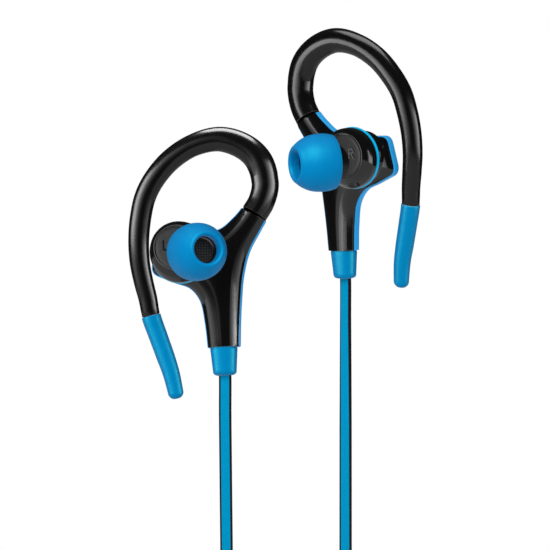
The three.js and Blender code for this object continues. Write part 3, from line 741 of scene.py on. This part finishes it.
def inward(outline):
    """Unit ways into an anticlockwise outline from its points."""
    along = np.roll(outline, -1, 0) - np.roll(outline, 1, 0)
    along /= np.linalg.norm(along, axis=1)[:, None]
    return np.column_stack([-along[:, 1], along[:, 0]])


def film_depth(points):
    """The mean-value distance of points from the housing's outline. Near an edge it is the
    distance, and across a strip it has the profile of a parabola, so that a height on its
    square root makes an elliptical section."""
    out = []
    for some in np.array_split(points, max(1, len(points) // 400)):
        to = OUTLINE[None] - some[:, None]
        far = np.linalg.norm(to, axis=2)
        to_next, far_next = np.roll(to, -1, 1), np.roll(far, -1, 1)
        cross = to[..., 0] * to_next[..., 1] - to[..., 1] * to_next[..., 0]
        dot = np.sum(to * to_next, 2)
        half_tangent = cross / (far * far_next + dot)
        out.append(2 / np.sum(half_tangent * (1 / far + 1 / far_next), 1))
    return np.concatenate(out)


def climb(points):
    """The steepest way up the film depth from points, for one millimetre of depth."""
    reach = 1e-3
    steps = np.array([(reach, 0), (0, reach)])
    parts = [film_depth(points + s) - film_depth(points - s) for s in steps]
    slope = np.stack(parts, 1) / (2 * reach)
    return slope / np.sum(slope**2, 1)[:, None]


DEPTH_SCALE = 2.4  # film depth at which a shell nears its full height
FULLNESS = 8  # how flat a shell is beyond that
STEM_SHARE = 0.87  # share of its full height that a shell has along the stem
RIM_STEPS = 12
RIM_SHARE = 0.68


def shell(face, seam):
    """One half of the housing, from its flat seam to its domed face."""
    way = math.copysign(1, face)
    full = (abs(face) - WIDEST) / STEM_SHARE

    def height(depth):
        t = np.sqrt(depth / DEPTH_SCALE)
        return way * (WIDEST + full * t / (1 + t**FULLNESS) ** (1 / FULLNESS))

    first = math.asin((abs(seam) - WIDEST) / full)
    shares = np.sin(np.linspace(first, math.asin(RIM_SHARE), RIM_STEPS))
    depths = DEPTH_SCALE * shares**2
    ring = OUTLINE + 0.02 * inward(OUTLINE)
    now = 0.02
    points, count = [], len(ring)
    for depth in depths:
        for _ in range(3):
            step = (depth - now) / 3
            middle = ring + climb(ring) * step / 2
            ring = ring + climb(middle) * step
            now += step
        points.append(np.column_stack([ring, height(film_depth(ring))]))
    points[0][:, 2] = seam
    points = np.vstack(points)
    faces = []
    for level in range(RIM_STEPS - 1):
        faces += quads(level * count, (level + 1) * count, count)
    x, y = np.meshgrid(np.arange(-16, 15, 0.45), np.arange(-1, 42, 0.39))
    x = x + 0.225 * (np.arange(len(x)) % 2)[:, None]
    inside = np.column_stack([x.ravel(), y.ravel()])
    near = np.min(np.linalg.norm(inside[:, None] - OUTLINE[None], axis=2), axis=1)
    inside = inside[near > 0.5]
    depth = film_depth(inside)
    inside = inside[(depth > depths[-1] * 1.05) & (depth < 50)]
    flat = [Vector(p) for p in np.vstack([ring, inside])]
    edges = [(i, (i + 1) % count) for i in range(count)]
    made = delaunay_2d_cdt(flat, edges, [list(range(count))], 1, 1e-6)
    names, last = {}, (RIM_STEPS - 1) * count
    extra = []
    for i, (vertex, origin) in enumerate(zip(made[0], made[3])):
        if origin and origin[0] < count:
            names[i] = last + origin[0]
        else:
            names[i] = len(points) + len(extra)
            extra.append(vertex)
    extra = np.array([tuple(v) for v in extra])
    extra = np.column_stack([extra, height(film_depth(extra))])
    faces += [tuple(names[i] for i in face) for face in made[2]]
    faces.append(tuple(range(count)))
    return Shape().add(np.vstack([points, extra]), faces)


def cuts_at(stem, arm):
    """Planes across the stem's foot and the arm's end, set in by a distance."""
    foot = Vector((0, STEM_BOTTOM + stem, 0)), Vector((0, -1, 0))
    end = Vector((*ARM_END, 0)) - arm * Vector((*ARM_WAY, 0)), Vector((*ARM_WAY, 0))
    return foot, end


def make_housing(side, place):
    parts = (("front_shell", FRONT_FACE, BAND[1] + SEAM), ("rear_shell", REAR_FACE, BAND[0] - SEAM))
    for name, face, seam in parts:
        node = f"{name}_{side}"
        shape = shell(face, seam)
        cuts = cuts_at(0, 0.03)
        piece(node + "_casing", shape, "gloss_black", [node], place=place, bevel=0.07, cuts=cuts)
    band = slab(OUTLINE - 0.03 * inward(OUTLINE), *BAND)
    node = f"mid_band_{side}"
    cuts = cuts_at(0.05, 0.14)
    piece(node + "_strip", band, "blue_band", [node], place=place, bevel=0.16, cuts=cuts)


# ---- Pod, nozzle and ear tip ---------------------------------------------------------------


def stroke(points, width, low, high):
    """A flat letter stroke along a line."""
    points = even(points, 0.08)
    along = ways_along(points)
    side = np.column_stack([-along[:, 1], along[:, 0]]) * width / 2
    return slab(np.vstack([points + side, (points - side)[::-1]]), low, high)


MARK_LEVELS = (-0.1, 0.24)
MARK_PLACE = (-10.1, 27.4, 9.97)


def side_mark(side):
    """The strokes of a raised L or R, 2.3 mm high, about its own middle, in two groups. The
    strokes of a group don't cross."""
    if side == "left":
        upright = stroke([(-0.45, 1.15), (-0.45, -1.15)], 0.46, *MARK_LEVELS)
        return [upright], [stroke([(-0.3, -0.93), (0.7, -0.93)], 0.44, *MARK_LEVELS)]
    bend = np.linspace(0.2, 3.0, 10)
    bowl = [(-0.4, 0.93), (0.1, 0.93)]
    bowl += [(0.1 + 0.44 * math.sin(a), 0.49 + 0.44 * math.cos(a)) for a in bend]
    bowl += [(0.1, 0.05), (-0.4, 0.05)]
    upright = stroke([(-0.52, 1.15), (-0.52, -1.15)], 0.42, *MARK_LEVELS)
    leg = stroke([(-0.05, 0.0), (0.62, -1.15)], 0.42, *MARK_LEVELS)
    return [upright], [stroke(bowl, 0.4, *MARK_LEVELS), leg]


LEAN_FOOT = 7.2
LEAN = (-0.114, 0.316)  # how far the pod's face sits off centre, per mm of height above that


def leaned(shape):
    """Sets what is above the foot off centre."""
    shape.points[:, :2] += np.outer(np.maximum(0, shape.points[:, 2] - LEAN_FOOT), LEAN)
    return shape


def make_pod(side, place):
    at_pod = place @ Matrix.Translation((*POD_CENTRE, 0))
    boss = [(0, 1.4, 0), (5.4, 1.4, 0), (5.2, 3.1, 0.5), (4.9, 4.3, 0.4), (5.95, 4.85, 0.15)]
    boss = filleted(boss + [(5.95, 5.3, 0.12), (5.7, 5.4, 0.1), (0, 5.4, 0)])
    piece(f"pod_boss_{side}", turned(boss), "gloss_black", [], place=at_pod)
    ring = [(5.2, 5.42, 0), (6.57, 5.42, 0.14), (6.57, 5.98, 0.14), (5.2, 5.98, 0), (5.2, 5.42, 0)]
    node = f"pod_ring_{side}"
    piece(node + "_band", turned(filleted(ring)), "cyan_ring", [node], place=at_pod)
    bowl = [(0, 6.05, 0), (6.3, 6.05, 0.12), (6.46, 6.4, 0.3), (6.42, 7.5, 2.0), (5.95, 8.8, 1.6)]
    bowl += [(4.85, 9.98, 0.35), (4.62, 9.9, 0.08), (4.55, 9.5, 0), (0, 9.5, 0)]
    node = f"driver_pod_{side}"
    shape = leaned(turned(filleted(bowl, steps=7), 128))
    piece(node + "_bowl", shape, "gloss_black", [node], place=at_pod)
    cap = [(0, 9.4, 0), (4.5, 9.4, 0), (4.5, 9.88, 0.1), (3.9, 9.97, 0.5), (0, 10.02, 0)]
    node = f"pod_cap_{side}"
    piece(node + "_face", leaned(turned(filleted(cap))), "dark_grey", [node], place=at_pod)
    flip = -1 if side == "right" else 1
    at_mark = place @ Matrix.Translation(MARK_PLACE) @ Matrix.Diagonal((flip, 1, 1, 1))
    for kind, strokes in zip(("a", "b"), side_mark(side)):
        whole = Shape()
        for one in strokes:
            whole.add(one.points, one.faces)
        name = f"side_mark_{side}_{kind}"
        piece(name, whole, "gloss_black", [], place=at_mark, bevel=0.08)


def make_tip(side, place):
    on_axis = place @ Matrix.Translation(NOZZLE_FOOT)
    on_axis = on_axis @ Matrix.Rotation(rad(NOZZLE_TILT), 4, "Y")
    neck = [(0, -3.2, 0), (4.4, -3.2, 0), (4.3, -1.6, 0.4), (3.8, -0.4, 0.5), (3.1, 0.0, 0.3)]
    neck += [(3.1, 3.9, 0.1), (3.3, 4.15, 0.1), (3.05, 5.2, 0.15), (2.75, 5.2, 0), (2.75, 4.1, 0)]
    neck += [(0, 4.1, 0)]
    node = f"nozzle_{side}"
    piece(node + "_tube", turned(filleted(neck)), "satin_black", [node], place=on_axis)
    grille = [(0, 4.0, 0), (2.74, 4.0, 0), (2.74, 4.25, 0.1), (1.5, 4.45, 0.8), (0, 4.5, 0)]
    node = f"nozzle_mesh_{side}"
    piece(node + "_disc", turned(filleted(grille)), "woven_mesh", [node], place=on_axis)
    outside = [
        (5.8, -0.6), (5.95, 0.0), (6.08, 0.8), (6.15, 1.7), (6.12, 2.7), (6.0, 3.8), (5.75, 4.8),
        (5.35, 5.75), (4.85, 6.6), (4.35, 7.25), (4.0, 7.7),
    ]
    lip = [(3.7, 7.93), (3.4, 7.97), (3.15, 7.8), (2.98, 7.5), (2.93, 7.0), (2.93, 5.75)]
    inside = [(3.45, 5.45), (3.45, 0.4), (3.9, 0.3), (3.95, 4.7), (4.4, 5.0), (5.0, 4.6)]
    inside += [(5.4, 3.6), (5.65, 2.0), (5.6, 0.7), (5.42, -0.4), (5.55, -0.68), (5.8, -0.6)]
    profile = [curve_through(outside + lip, 0.12), inside[:3], curve_through(inside[3:], 0.3)]
    profile = np.vstack(profile)
    node = f"ear_tip_{side}"
    body = f"tip_{side}"
    piece(node + "_dome", turned(profile, 128), "blue_silicone", [node], body=body, place=on_axis)


# ---- Ear hook ------------------------------------------------------------------------------

ROOT_LENGTH = 9.0
FLATTENING = 0.87  # the hook's depth as a share of its width
HOOK_STEP = 0.25
SEAM_WIDTH, SEAM_DEPTH = 0.2, 0.16
SEAM_ROUNDING = ((0, 0.14), (0.03, 0.06), (0.08, 0.02), (0.16, 0))
TIP_ROUNDING = 1.3
TIP_RADII = (2.08, 1.98, 1.62)  # at the blue tip's start, middle and end
ARCH_START = 3.1  # the length along the hook from which HOOK_SHARES are counted


def hook_points(side):
    """The hook's centre line. The free end of the right one is set higher."""
    points = [(*ARM_END, 0.2), (9.35, 36.6, -0.25)]
    for x, y, z in HOOK_LINE[1:]:
        share = min(1, max(0, 42 - y) / 25) * (x < 0)
        points.append((x, y + HOOK_SET[side] * share, z))
    return points


def hook_stretch(side, start, end, ends):
    """Part of the hook between two lengths from its root. ends says how each end of it is
    made: flat, seam (its rim a little rounded), or dome."""
    line = curve_through(hook_points(side), HOOK_STEP)
    sides, tops = carried(line, (ARM_WAY[1], -ARM_WAY[0], 0))
    total = HOOK_STEP * (len(line) - 1)
    beyond = 2.0
    line = np.vstack([line, line[-1] + (line[-1] - line[-2]) / HOOK_STEP * beyond])
    sides, tops = np.vstack([sides, sides[-1]]), np.vstack([tops, tops[-1]])
    along = np.append(np.linspace(0, total, len(line) - 1), total + beyond)
    rim = {"flat": ((0, 0),), "seam": SEAM_ROUNDING, "sunk": ((0, SEAM_DEPTH),)}
    stations = [(start + d, shrink) for d, shrink in rim[ends[0]]]
    stations += [(at, 0) for at in np.arange(start + 0.5, end - TIP_ROUNDING - 0.1, 0.5)]
    dome = ends[1] == "dome"
    if dome:
        for a in np.linspace(0, math.pi / 2, 11):
            reach = end - TIP_ROUNDING * (1 - math.sin(a))
            stations.append((reach, TIP_ROUNDING * (1 - math.cos(a))))
    else:
        stations += [(end - d, shrink) for d, shrink in rim[ends[1]][::-1]]
    at = np.array([a for a, _ in stations])
    shrink = np.array([s for _, s in stations])
    share = (at - ARCH_START) / (total - ARCH_START)
    radius = np.interp(share, HOOK_SHARES, HOOK_RADII)
    if dome:
        radius = np.interp(at, (start, (start + end) / 2, end), TIP_RADII)

    def pick(table):
        return np.stack([np.interp(at, along, table[:, i]) for i in range(3)], 1)

    section = oval(2, 2, 2, 56)
    sections = [section * np.array((r, r * FLATTENING)) for r in radius - shrink]
    return swept(pick(line), pick(sides), pick(tops), sections), total


def make_hook(side, place):
    total = hook_stretch(side, 0, 20, ("flat", "flat"))[1]
    body = f"hook_{side}"
    # Painted shade: a near-black filler set into the seam darkens the gap between the arm and the
    # hook.
    shade_filler = hook_stretch(side, 0, SEAM_WIDTH, ("sunk", "sunk"))[0]
    piece(f"seam_gasket_{side}", shade_filler, "seam_black", [], place=place)
    root = hook_stretch(side, SEAM_WIDTH, ROOT_LENGTH, ("flat", "flat"))[0]
    obj = piece(f"hook_root_{side}", root, "rubber_black", [], body=None, place=place)
    points = hook_points(side)
    start = place @ Vector(points[0])
    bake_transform(obj)
    node = f"ear_hook_{side}"
    main = hook_stretch(side, ROOT_LENGTH, total - HOOK_TIP_LENGTH, ("flat", "seam"))[0]
    piece(node + "_arch", main, "rubber_black", [node], body=body, place=place)
    node = f"hook_tip_{side}"
    start = total - HOOK_TIP_LENGTH + 0.05
    tip = hook_stretch(side, start, total + 0.3, ("seam", "dome"))[0]
    piece(node + "_sleeve", tip, "blue_rubber", [node], body=body, place=place)


# ---- Strain relief -------------------------------------------------------------------------


BOOT_WIDTH, BOOT_DEPTH = 5.8, 4.6
BOOT_FOOT = 0.84  # the size of its foot as a share of its top
BOOT_TOP = 5.7


def make_boot(side, place):
    """The tapered oval sleeve under the stem, its foot rounded in."""
    stations = [(0.0, 1.2), (0.04, 0.75), (0.16, 0.36), (0.34, 0.14), (0.6, 0.0)]
    stations += [(y, 0) for y in np.linspace(1.2, 5.6, 8)]
    stations += [(5.75, 0.04), (5.95, 0.1), (6.6, 0.12)]
    sections = []
    for y, shrink in stations:
        scale = BOOT_FOOT + (1 - BOOT_FOOT) * min(1, y / BOOT_TOP)
        width, depth = BOOT_WIDTH * scale - 2 * shrink, BOOT_DEPTH * scale - 2 * shrink
        sections.append(oval(width, depth, 2.25, 64))
    centres = [(0, y, 0.2) for y, _ in stations]
    count = len(centres)
    shape = swept(centres, [(1, 0, 0)] * count, [(0, 0, -1)] * count, sections)
    node = f"strain_relief_{side}"
    piece(node + "_boot", shape, "blue_rubber", [node], place=place)


for bud_side in BUDS:
    bud_place = bud_matrix(bud_side)
    make_housing(bud_side, bud_place)
    make_pod(bud_side, bud_place)
    make_tip(bud_side, bud_place)
    make_hook(bud_side, bud_place)
    make_boot(bud_side, bud_place)

# ---- Splitter, remote, plug and ties -------------------------------------------------------


def rounded_box(size, radius, centre=(0, 0, 0), steps=5):
    """A box whose four edges along z are rounded."""
    width, depth, height = size
    x, y, z = centre
    corners = [(-1, -1), (1, -1), (1, 1), (-1, 1)]
    outline = filleted(
        [(x + a * width / 2, y + b * depth / 2, radius) for a, b in corners], steps, closed=True
    )
    return slab(outline, z - height / 2, z + height / 2)


def pillow(width, height, radius, length, rounding):
    """A bar along y whose section is a rounded oblong, with its ends rounded in."""
    angles = np.linspace(0, math.pi / 2, 7)
    ends = [(rounding * (1 - math.sin(a)), rounding * (1 - math.cos(a))) for a in angles]
    stations = [(-length / 2 + d, s) for d, s in ends[::-1]]
    stations = sorted(stations + [(length / 2 - d, s) for d, s in ends])
    sections = []
    for _, shrink in stations:
        a, b = width / 2 - shrink, height / 2 - shrink
        corners = [(-a, -b), (a, -b), (a, b), (-a, b)]
        r = min(max(radius - shrink, 0.2), 0.98 * b)
        sections.append(filleted([(x, y, r) for x, y in corners], 6, closed=True))
    count = len(stations)
    centres = [(0, y, 0) for y, _ in stations]
    return swept(centres, [(1, 0, 0)] * count, [(0, 0, 1)] * count, sections)


def make_splitter():
    """Two halves with a seam between them, the cables let into their ends."""
    length, thickness, height = SPLITTER_SIZE
    x, y = splitter_end(1)
    back_x, back_y = splitter_end(-1)
    middle = (x + back_x) / 2, (y + back_y) / 2, SPLITTER_LEVEL
    place = standing(middle, degrees=SPLITTER_ANGLE + 90)
    stand = Matrix.Rotation(rad(90), 4, "X")
    ends = ((1, 0.3), (-1, -1.2), (-1, 1.8))
    slots = [rounded_box(SPLITTER_SLOT, 0.4, (way * length / 2, 0, z)) for way, z in ends]
    for name, way in (("splitter_front", -1), ("splitter_back", 1)):
        depth = thickness / 2 - 0.08
        half = rounded_box((length, height, depth), 1.2, (0, 0, -way * (0.08 + depth / 2)), 8)
        half.moved(stand)
        side = way * thickness / 2
        holes = slots + [rounded_box((0.5, 0.3, 8), 0.1, (at, side, 0)) for at in (-4.2, 4.2)]
        made = name + "_half"
        piece(made, half, "satin_black", [name], place=place, bevel=0.22, holes=holes)


def make_remote():
    width, length, height = REMOTE_SIZE
    place = standing((*REMOTE_CENTRE, FLOOR), degrees=REMOTE_HEADING)
    middle = Matrix.Translation((0, 0, height / 2))
    hollow = pillow(width - 1.8, height - 1.8, 0.9, length - 4, 0.3).moved(middle)
    ends = -length / 2, length / 2
    slots = [rounded_box((2.9, 6, 1.4), 0.3, (0, end, height / 2)) for end in ends]
    button_hole = rounded_box((4.4, 11.6, 4), 2.1, (0, 0, height), 12)
    sound_hole = turned([(0, 3), (0.5, 3), (0.5, 4.3), (0.75, 4.7), (0, 4.7)], 24)
    sound_hole.moved(Matrix.Translation((0, 9.5, 0)))
    for name, way, more in (("cover", -1, [button_hole, sound_hole]), ("back", 1, [])):
        whole = pillow(width, height, 1.8, length, 0.8).moved(middle)
        cuts = [(Vector((0, 0, height / 2 - way * 0.08)), Vector((0, 0, way)))]
        node, holes = f"remote_{name}", [hollow, *slots, *more]
        made = node + "_half"
        piece(made, whole, "satin_black", [node], place=place, bevel=0.1, cuts=cuts, holes=holes)
    top = height + BUTTON_PROUD
    cap = rounded_box((3.8, 11, BUTTON_HEIGHT), 1.85, (0, 0, top - BUTTON_HEIGHT / 2), 12)
    dish = turned([(0, -0.16), (0.8, -0.1), (1.2, 0.05), (0, 0.05)], 40).moved(
        Matrix.Translation((0, 0, top))
    )
    bars = [rounded_box((1.3, 0.3, 0.3), 0.1, (0, y, top + 0.05)) for y in (-3.9, 3.9)]
    bars.append(rounded_box((0.3, 1.3, 0.3), 0.1, (0, 3.9, top + 0.05)))
    button = {"body": "button", "place": place, "bevel": 0.2, "holes": [dish, *bars]}
    piece("remote_button_cap", cap, "cable_blue", ["remote_button"], **button)
    board = rounded_box((4.4, 22, 0.5), 0.5, (0, 0, 1.55))
    corners = [(x, y) for x in (-1.6, 1.6) for y in (-10, 10)]
    holes = [rounded_box((0.8, 0.8, 2), 0.39, (x, y, 1.5)) for x, y in corners]
    piece("remote_board_plate", board, "board", ["remote_board"], place=place, holes=holes)
    chips = Shape()
    for size, at in (((1.8, 2.6, 0.5), (0, -6, 2.07)), ((1.0, 0.6, 0.35), (1.3, -2.5, 1.99))):
        chip = rounded_box(size, 0.08, at)
        chips.add(chip.points, chip.faces)
    piece("remote_board_chips", chips, "satin_black", [], place=place, bevel=0.05)
    can = [(0, 1.85, 0), (1.2, 1.85, 0.08), (1.2, 2.95, 0.12), (0.9, 2.95, 0.05), (0.85, 2.88, 0)]
    can += [(0.4, 2.88, 0), (0.38, 2.6, 0), (0, 2.6, 0)]
    can = turned(filleted(can, 3), 48).moved(Matrix.Translation((0, 9.5, 0)))
    piece("microphone_can", can, "steel", ["microphone"], place=place)


CORE_RADIUS = 1.15
CONTACT_RADIUS = 1.75
GRIP_RADIUS = 3.1
GROOVE_WIDTH, GROOVE_DEPTH = 0.35, 0.22


def grooves(radius, levels):
    """Profile points of grooves cut into a cylinder."""
    points, half, floor = [], GROOVE_WIDTH / 2, radius - GROOVE_DEPTH
    for z in levels:
        points += [(radius, z - half, 0.05), (floor, z - half + 0.08, 0.06)]
        points += [(floor, z + half - 0.08, 0.06), (radius, z + half, 0.05)]
    return points


def make_plug():
    place = standing((*PLUG_END, FLOOR + PLUG_HEIGHT), "X", 90)

    def part(node, suffix, profile, looks, steps=4):
        shape = turned(filleted(profile, steps), 80)
        piece(node + suffix, shape, looks, [node], place=place)

    boot = [(0, 1.3, 0), (1.5, 1.3, 0), (1.5, 0, 0.1), (1.9, 0, 0.15)]
    for z in (1.6, 3.2, 4.8, 6.4):
        rim = 1.95 + 0.07 * z
        boot += [(rim, z - 0.3, 0.1), (rim - 0.4, z - 0.1, 0.12)]
        boot += [(rim - 0.4, z + 0.3, 0.12), (rim + 0.02, z + 0.5, 0.1)]
    part("plug_boot", "_sleeve", boot + [(2.6, 9.7, 0.1), (0, 9.7, 0)], "blue_rubber")
    wide, thin, outer = GRIP_RADIUS, CORE_RADIUS, CONTACT_RADIUS
    grip = [(0, 9.9, 0), (2.7, 9.9, 0.12), (wide, 10.6, 0.3)]
    grip += grooves(wide, (12.0, 13.0, 14.0, 15.0)) + [(wide, 20.2, 0.3), (2.8, 20.6, 0.1)]
    part("plug_grip", "_shell", grip + [(0, 20.6, 0)], "satin_black")
    core = [(0, 20.7, 0), (thin, 20.7, 0)]
    for low in (24.87, 27.87, 30.67):
        high = low + 0.56
        core += [(thin, low, 0), (outer - 0.01, low, 0.03), (outer - 0.01, high, 0.03)]
        core.append((thin, high, 0))
    part("plug_core", "_rod", core[:-1] + [(0, 31.23, 0)], "satin_black")
    for name, low, high in (("sleeve", 20.8, 24.8), ("ring_2", 25.5, 27.8), ("ring_1", 28.5, 30.6)):
        contact = [(1.3, low, 0), (outer, low, 0.05), (outer, high, 0.05), (1.3, high, 0)]
        part("plug_" + name, "_contact", contact + contact[:1], "gold")
    tip = [(0, 31.3, 0), (1.7, 31.3, 0.06), (1.73, 31.9, 0.12), (1.12, 32.7, 0.25)]
    tip += [(1.6, 33.45, 0.35), (0.85, 34.6, 0.4), (0, 34.8, 0)]
    part("plug_tip", "_point", tip, "gold", 7)


TIE_REACH = (10.7, 21.6)  # how far a tie's legs are from the coil's middle
TIE_LEVELS = (-100.0, -89.3)
TIE_WIDTH = 5.0
TIE_THICKNESS = 0.62


def make_tie(name, degrees):
    """A strap round the coil, its tail folded over on top and closed with a stud."""
    (inner, outer), (bottom, top) = TIE_REACH, TIE_LEVELS

    def loop(inset):
        left, right, low, high = inner + inset, outer - inset, bottom + inset, top - inset
        corners = [(left, low), (right, low), (right, high), (left, high)]
        return filleted([(x, y, 1.6 - inset) for x, y in corners], 8, closed=True)

    outside, within = loop(0), loop(TIE_THICKNESS)
    count = len(outside)
    points, faces = [], []
    for line, y in ((outside, -1), (outside, 1), (within, 1), (within, -1)):
        points += [(r, y * TIE_WIDTH / 2, z) for r, z in line]
    for band in range(4):
        a, b = band * count, (band + 1) % 4 * count
        faces += [(a + i, b + i, b + (i + 1) % count, a + (i + 1) % count) for i in range(count)]
    place = standing((*COIL_CENTRE, 0), degrees=degrees)
    shape = Shape().add(points, faces)
    piece(name + "_strap", shape, "strap", [name], place=place, bevel=0.15)
    tail = rounded_box((7.5, TIE_WIDTH - 0.3, 0.5), 1.6, (inner + 5.6, 0, top + 0.27), 8)
    piece(name + "_tail", tail, "strap", [], place=place, bevel=0.15)
    stud = [(0, top + 0.5, 0), (1.0, top + 0.5, 0), (1.0, top + 0.8, 0.12), (0.6, top + 0.72, 0.1)]
    stud = turned(filleted(stud + [(0, top + 0.7, 0)]), 48)
    stud.moved(Matrix.Translation((inner + 7, 0, 0)))
    piece(name + "_stud", stud, "satin_black", [], place=place)


make_splitter()
make_remote()
make_plug()
for tie_number, tie_angle in enumerate((45, 225), 1):
    make_tie(f"cable_tie_{tie_number}", tie_angle)

# The sound drivers' shapes are right as they are, and only take better materials.
for node, key in (("driver_frame", "steel"), ("driver_magnet", "steel"), ("diaphragm", "film")):
    for bud_side in BUDS:
        for material_slot in bpy.data.objects[f"{node}_{bud_side}"].material_slots:
            material_slot.material = MATERIALS[key]

# ---- Light and floor -----------------------------------------------------------------------

TARGET = Vector((0.012, -0.008, -0.02))


def panel(name, azimuth, elevation, distance, size, radiance, diffuse=True, glossy=True):
    """A soft box that faces the object. Azimuth 0 is the camera's side and 90 is +X."""
    a, e = rad(azimuth), rad(elevation)
    way = Vector((math.sin(a) * math.cos(e), -math.cos(a) * math.cos(e), math.sin(e)))
    data = bpy.data.lights.new(name, "AREA")
    data.shape = "RECTANGLE"
    data.size, data.size_y = size
    data.energy = radiance * math.pi * size[0] * size[1]
    obj = in_scene(name, data)
    obj.location = TARGET + way * distance
    obj.rotation_euler = way.to_track_quat("Z", "Y").to_euler()
    obj.visible_camera = False
    obj.visible_diffuse = diffuse
    obj.visible_glossy = glossy
    return obj


# The upright soft boxes at the sides: the azimuth of each, and how bright it is.
RIGHT_STRIPS = ((26, 0.7), (38, 2.0), (50, 4.5), (62, 7.0), (74, 9.0))
STRIPS = ((-76, 8.0), (-64, 6.5), (-52, 4.0), (-40, 2.0), (-28, 0.9), *RIGHT_STRIPS)
OUTER_LEFT = ((-88, 6.0), (-76, 9.0), (-64, 7.0), (-52, 3.4), (-40, 1.2), (-28, 0.4))
OUTER_STRIPS = (*OUTER_LEFT, *RIGHT_STRIPS)
SOFT_LEFT = ((-64, 0.7), (-52, 2.2), (-40, 3.0), (-28, 1.8), (-16, 1.2))
SOFT_STRIPS = (*SOFT_LEFT, (50, 0.6), (62, 1.6), (74, 3.0))
STRIP_WIDTH = 0.088
STRIP_DISTANCE = 0.4

# Which pieces each set of strips lights, by how their names begin, and the (bottom, top, share
# of the brightness) of each of a strip's parts. Strips light no piece that isn't named here.
LEFT_SHELLS = ("front_shell_left", "rear_shell_left")
RIGHT_SHELLS = ("front_shell_right", "rear_shell_right")
LEFT_HOOK = ("hook_root_left", "ear_hook_left")
RIGHT_HOOK = ("hook_root_right", "ear_hook_right")
FADING = ((-0.008, 0.24, 1.0), (-0.15, -0.008, 0.14))
STRIP_SETS = {
    "fading": ((*LEFT_SHELLS, *LEFT_HOOK), OUTER_STRIPS, FADING),
    "soft": (
        (*RIGHT_SHELLS, "driver_pod", "pod_cap", "pod_boss"),
        SOFT_STRIPS,
        ((-0.18, 0.12, 1.0),),
    ),
    "marks": (("side_mark",), STRIPS, ((-0.18, 0.12, 0.25),)),
    "right_hook": (RIGHT_HOOK, STRIPS, ((-0.1, 0.1, 0.7),)),
    "even": (("hook_tip", "strain_relief"), STRIPS, ((-0.18, 0.12, 1.0),)),
}
TOP_LIGHTS = (
    ("top_left", (*LEFT_HOOK, "hook_tip"), 98, 13.0),
    ("top_right", RIGHT_HOOK, 88, 4.0),
)


def named(starts):
    """A collection of the shown pieces whose names begin so."""
    found = bpy.data.collections.new("lit_" + starts[0])
    for obj in bpy.context.scene.objects:
        if obj.type == "MESH" and obj.name.startswith(starts):
            found.objects.link(obj)
    return found


def make_strips(name):
    """One of the sets of strips, which shine only on their own pieces."""
    starts, strips, levels = STRIP_SETS[name]
    lit = named(starts)
    for azimuth, radiance in strips:
        for low, high, share in levels:
            size = STRIP_WIDTH, high - low
            made = f"{name}_{azimuth}_{share}"
            light = panel(made, azimuth, 0, STRIP_DISTANCE, size, radiance * share, diffuse=False)
            light.location.z = (low + high) / 2
            light.data.use_shadow = False
            light.light_linking.receiver_collection = lit


def make_lights():
    for obj in bpy.context.scene.objects:
        obj.visible_glossy = obj.type != "MESH"
    for name in STRIP_SETS:
        make_strips(name)
    for name, starts, elevation, radiance in TOP_LIGHTS:
        top = panel(name, 0, elevation, 0.35, (0.3, 0.22), radiance, diffuse=False)
        top.data.use_shadow = False
        top.light_linking.receiver_collection = named(starts)
    tips = panel("tips", -12, 42, 0.4, (0.34, 0.34), 11.0, diffuse=False)
    tips.light_linking.receiver_collection = named(("ear_tip",))
    panel("fill", -25, 35, 0.6, (0.4, 0.4), 3.0, glossy=False)


WORLD_DIFFUSE = 0.55  # the surroundings' brightness, where the camera itself sees 1
WORLD_GLOSSY = 0.03  # and as the pieces reflect it


def make_world():
    world = bpy.data.worlds.new("studio")
    bpy.context.scene.world = world
    world.use_nodes = True
    nodes, links = world.node_tree.nodes, world.node_tree.links
    background = nodes["Background"]
    path = nodes.new("ShaderNodeLightPath")
    glossy = nodes.new("ShaderNodeMapRange")
    glossy.inputs["To Min"].default_value = WORLD_DIFFUSE
    glossy.inputs["To Max"].default_value = WORLD_GLOSSY
    links.new(path.outputs["Is Glossy Ray"], glossy.inputs["Value"])
    whole = nodes.new("ShaderNodeMath")
    whole.operation = "MAXIMUM"
    links.new(path.outputs["Is Camera Ray"], whole.inputs[0])
    links.new(glossy.outputs["Result"], whole.inputs[1])
    background.inputs["Color"].default_value = (1, 1, 1, 1)
    links.new(whole.outputs[0], background.inputs["Strength"])


FLOOR_CENTRE = (12, 35)
FLOOR_RADIUS = 320


def make_floor():
    count = 64
    angles = np.linspace(0, 2 * math.pi, count, endpoint=False)
    x, y = FLOOR_CENTRE
    reach = FLOOR_RADIUS
    outline = np.column_stack([x + reach * np.cos(angles), y + reach * np.sin(angles)])
    floor = Finish("floor", (0.72, 0.72, 0.72), 0.7)
    floor.vary_color(40, 0.01).grain(3, 0.05)
    disc = slab(outline, FLOOR - 3.35, FLOOR - 0.35)
    make_object("floor", disc, IN_METRES, [floor.material])


make_lights()
make_world()
make_floor()
bpy.context.scene.view_settings.view_transform = "Standard"

# ---- Names of the plug's pieces ------------------------------------------------------------

PLUG_PIECES = ["boot_sleeve", "grip_shell", "core_rod", "sleeve_contact", "ring_2_contact"]
PLUG_PIECES += ["ring_1_contact", "tip_point"]
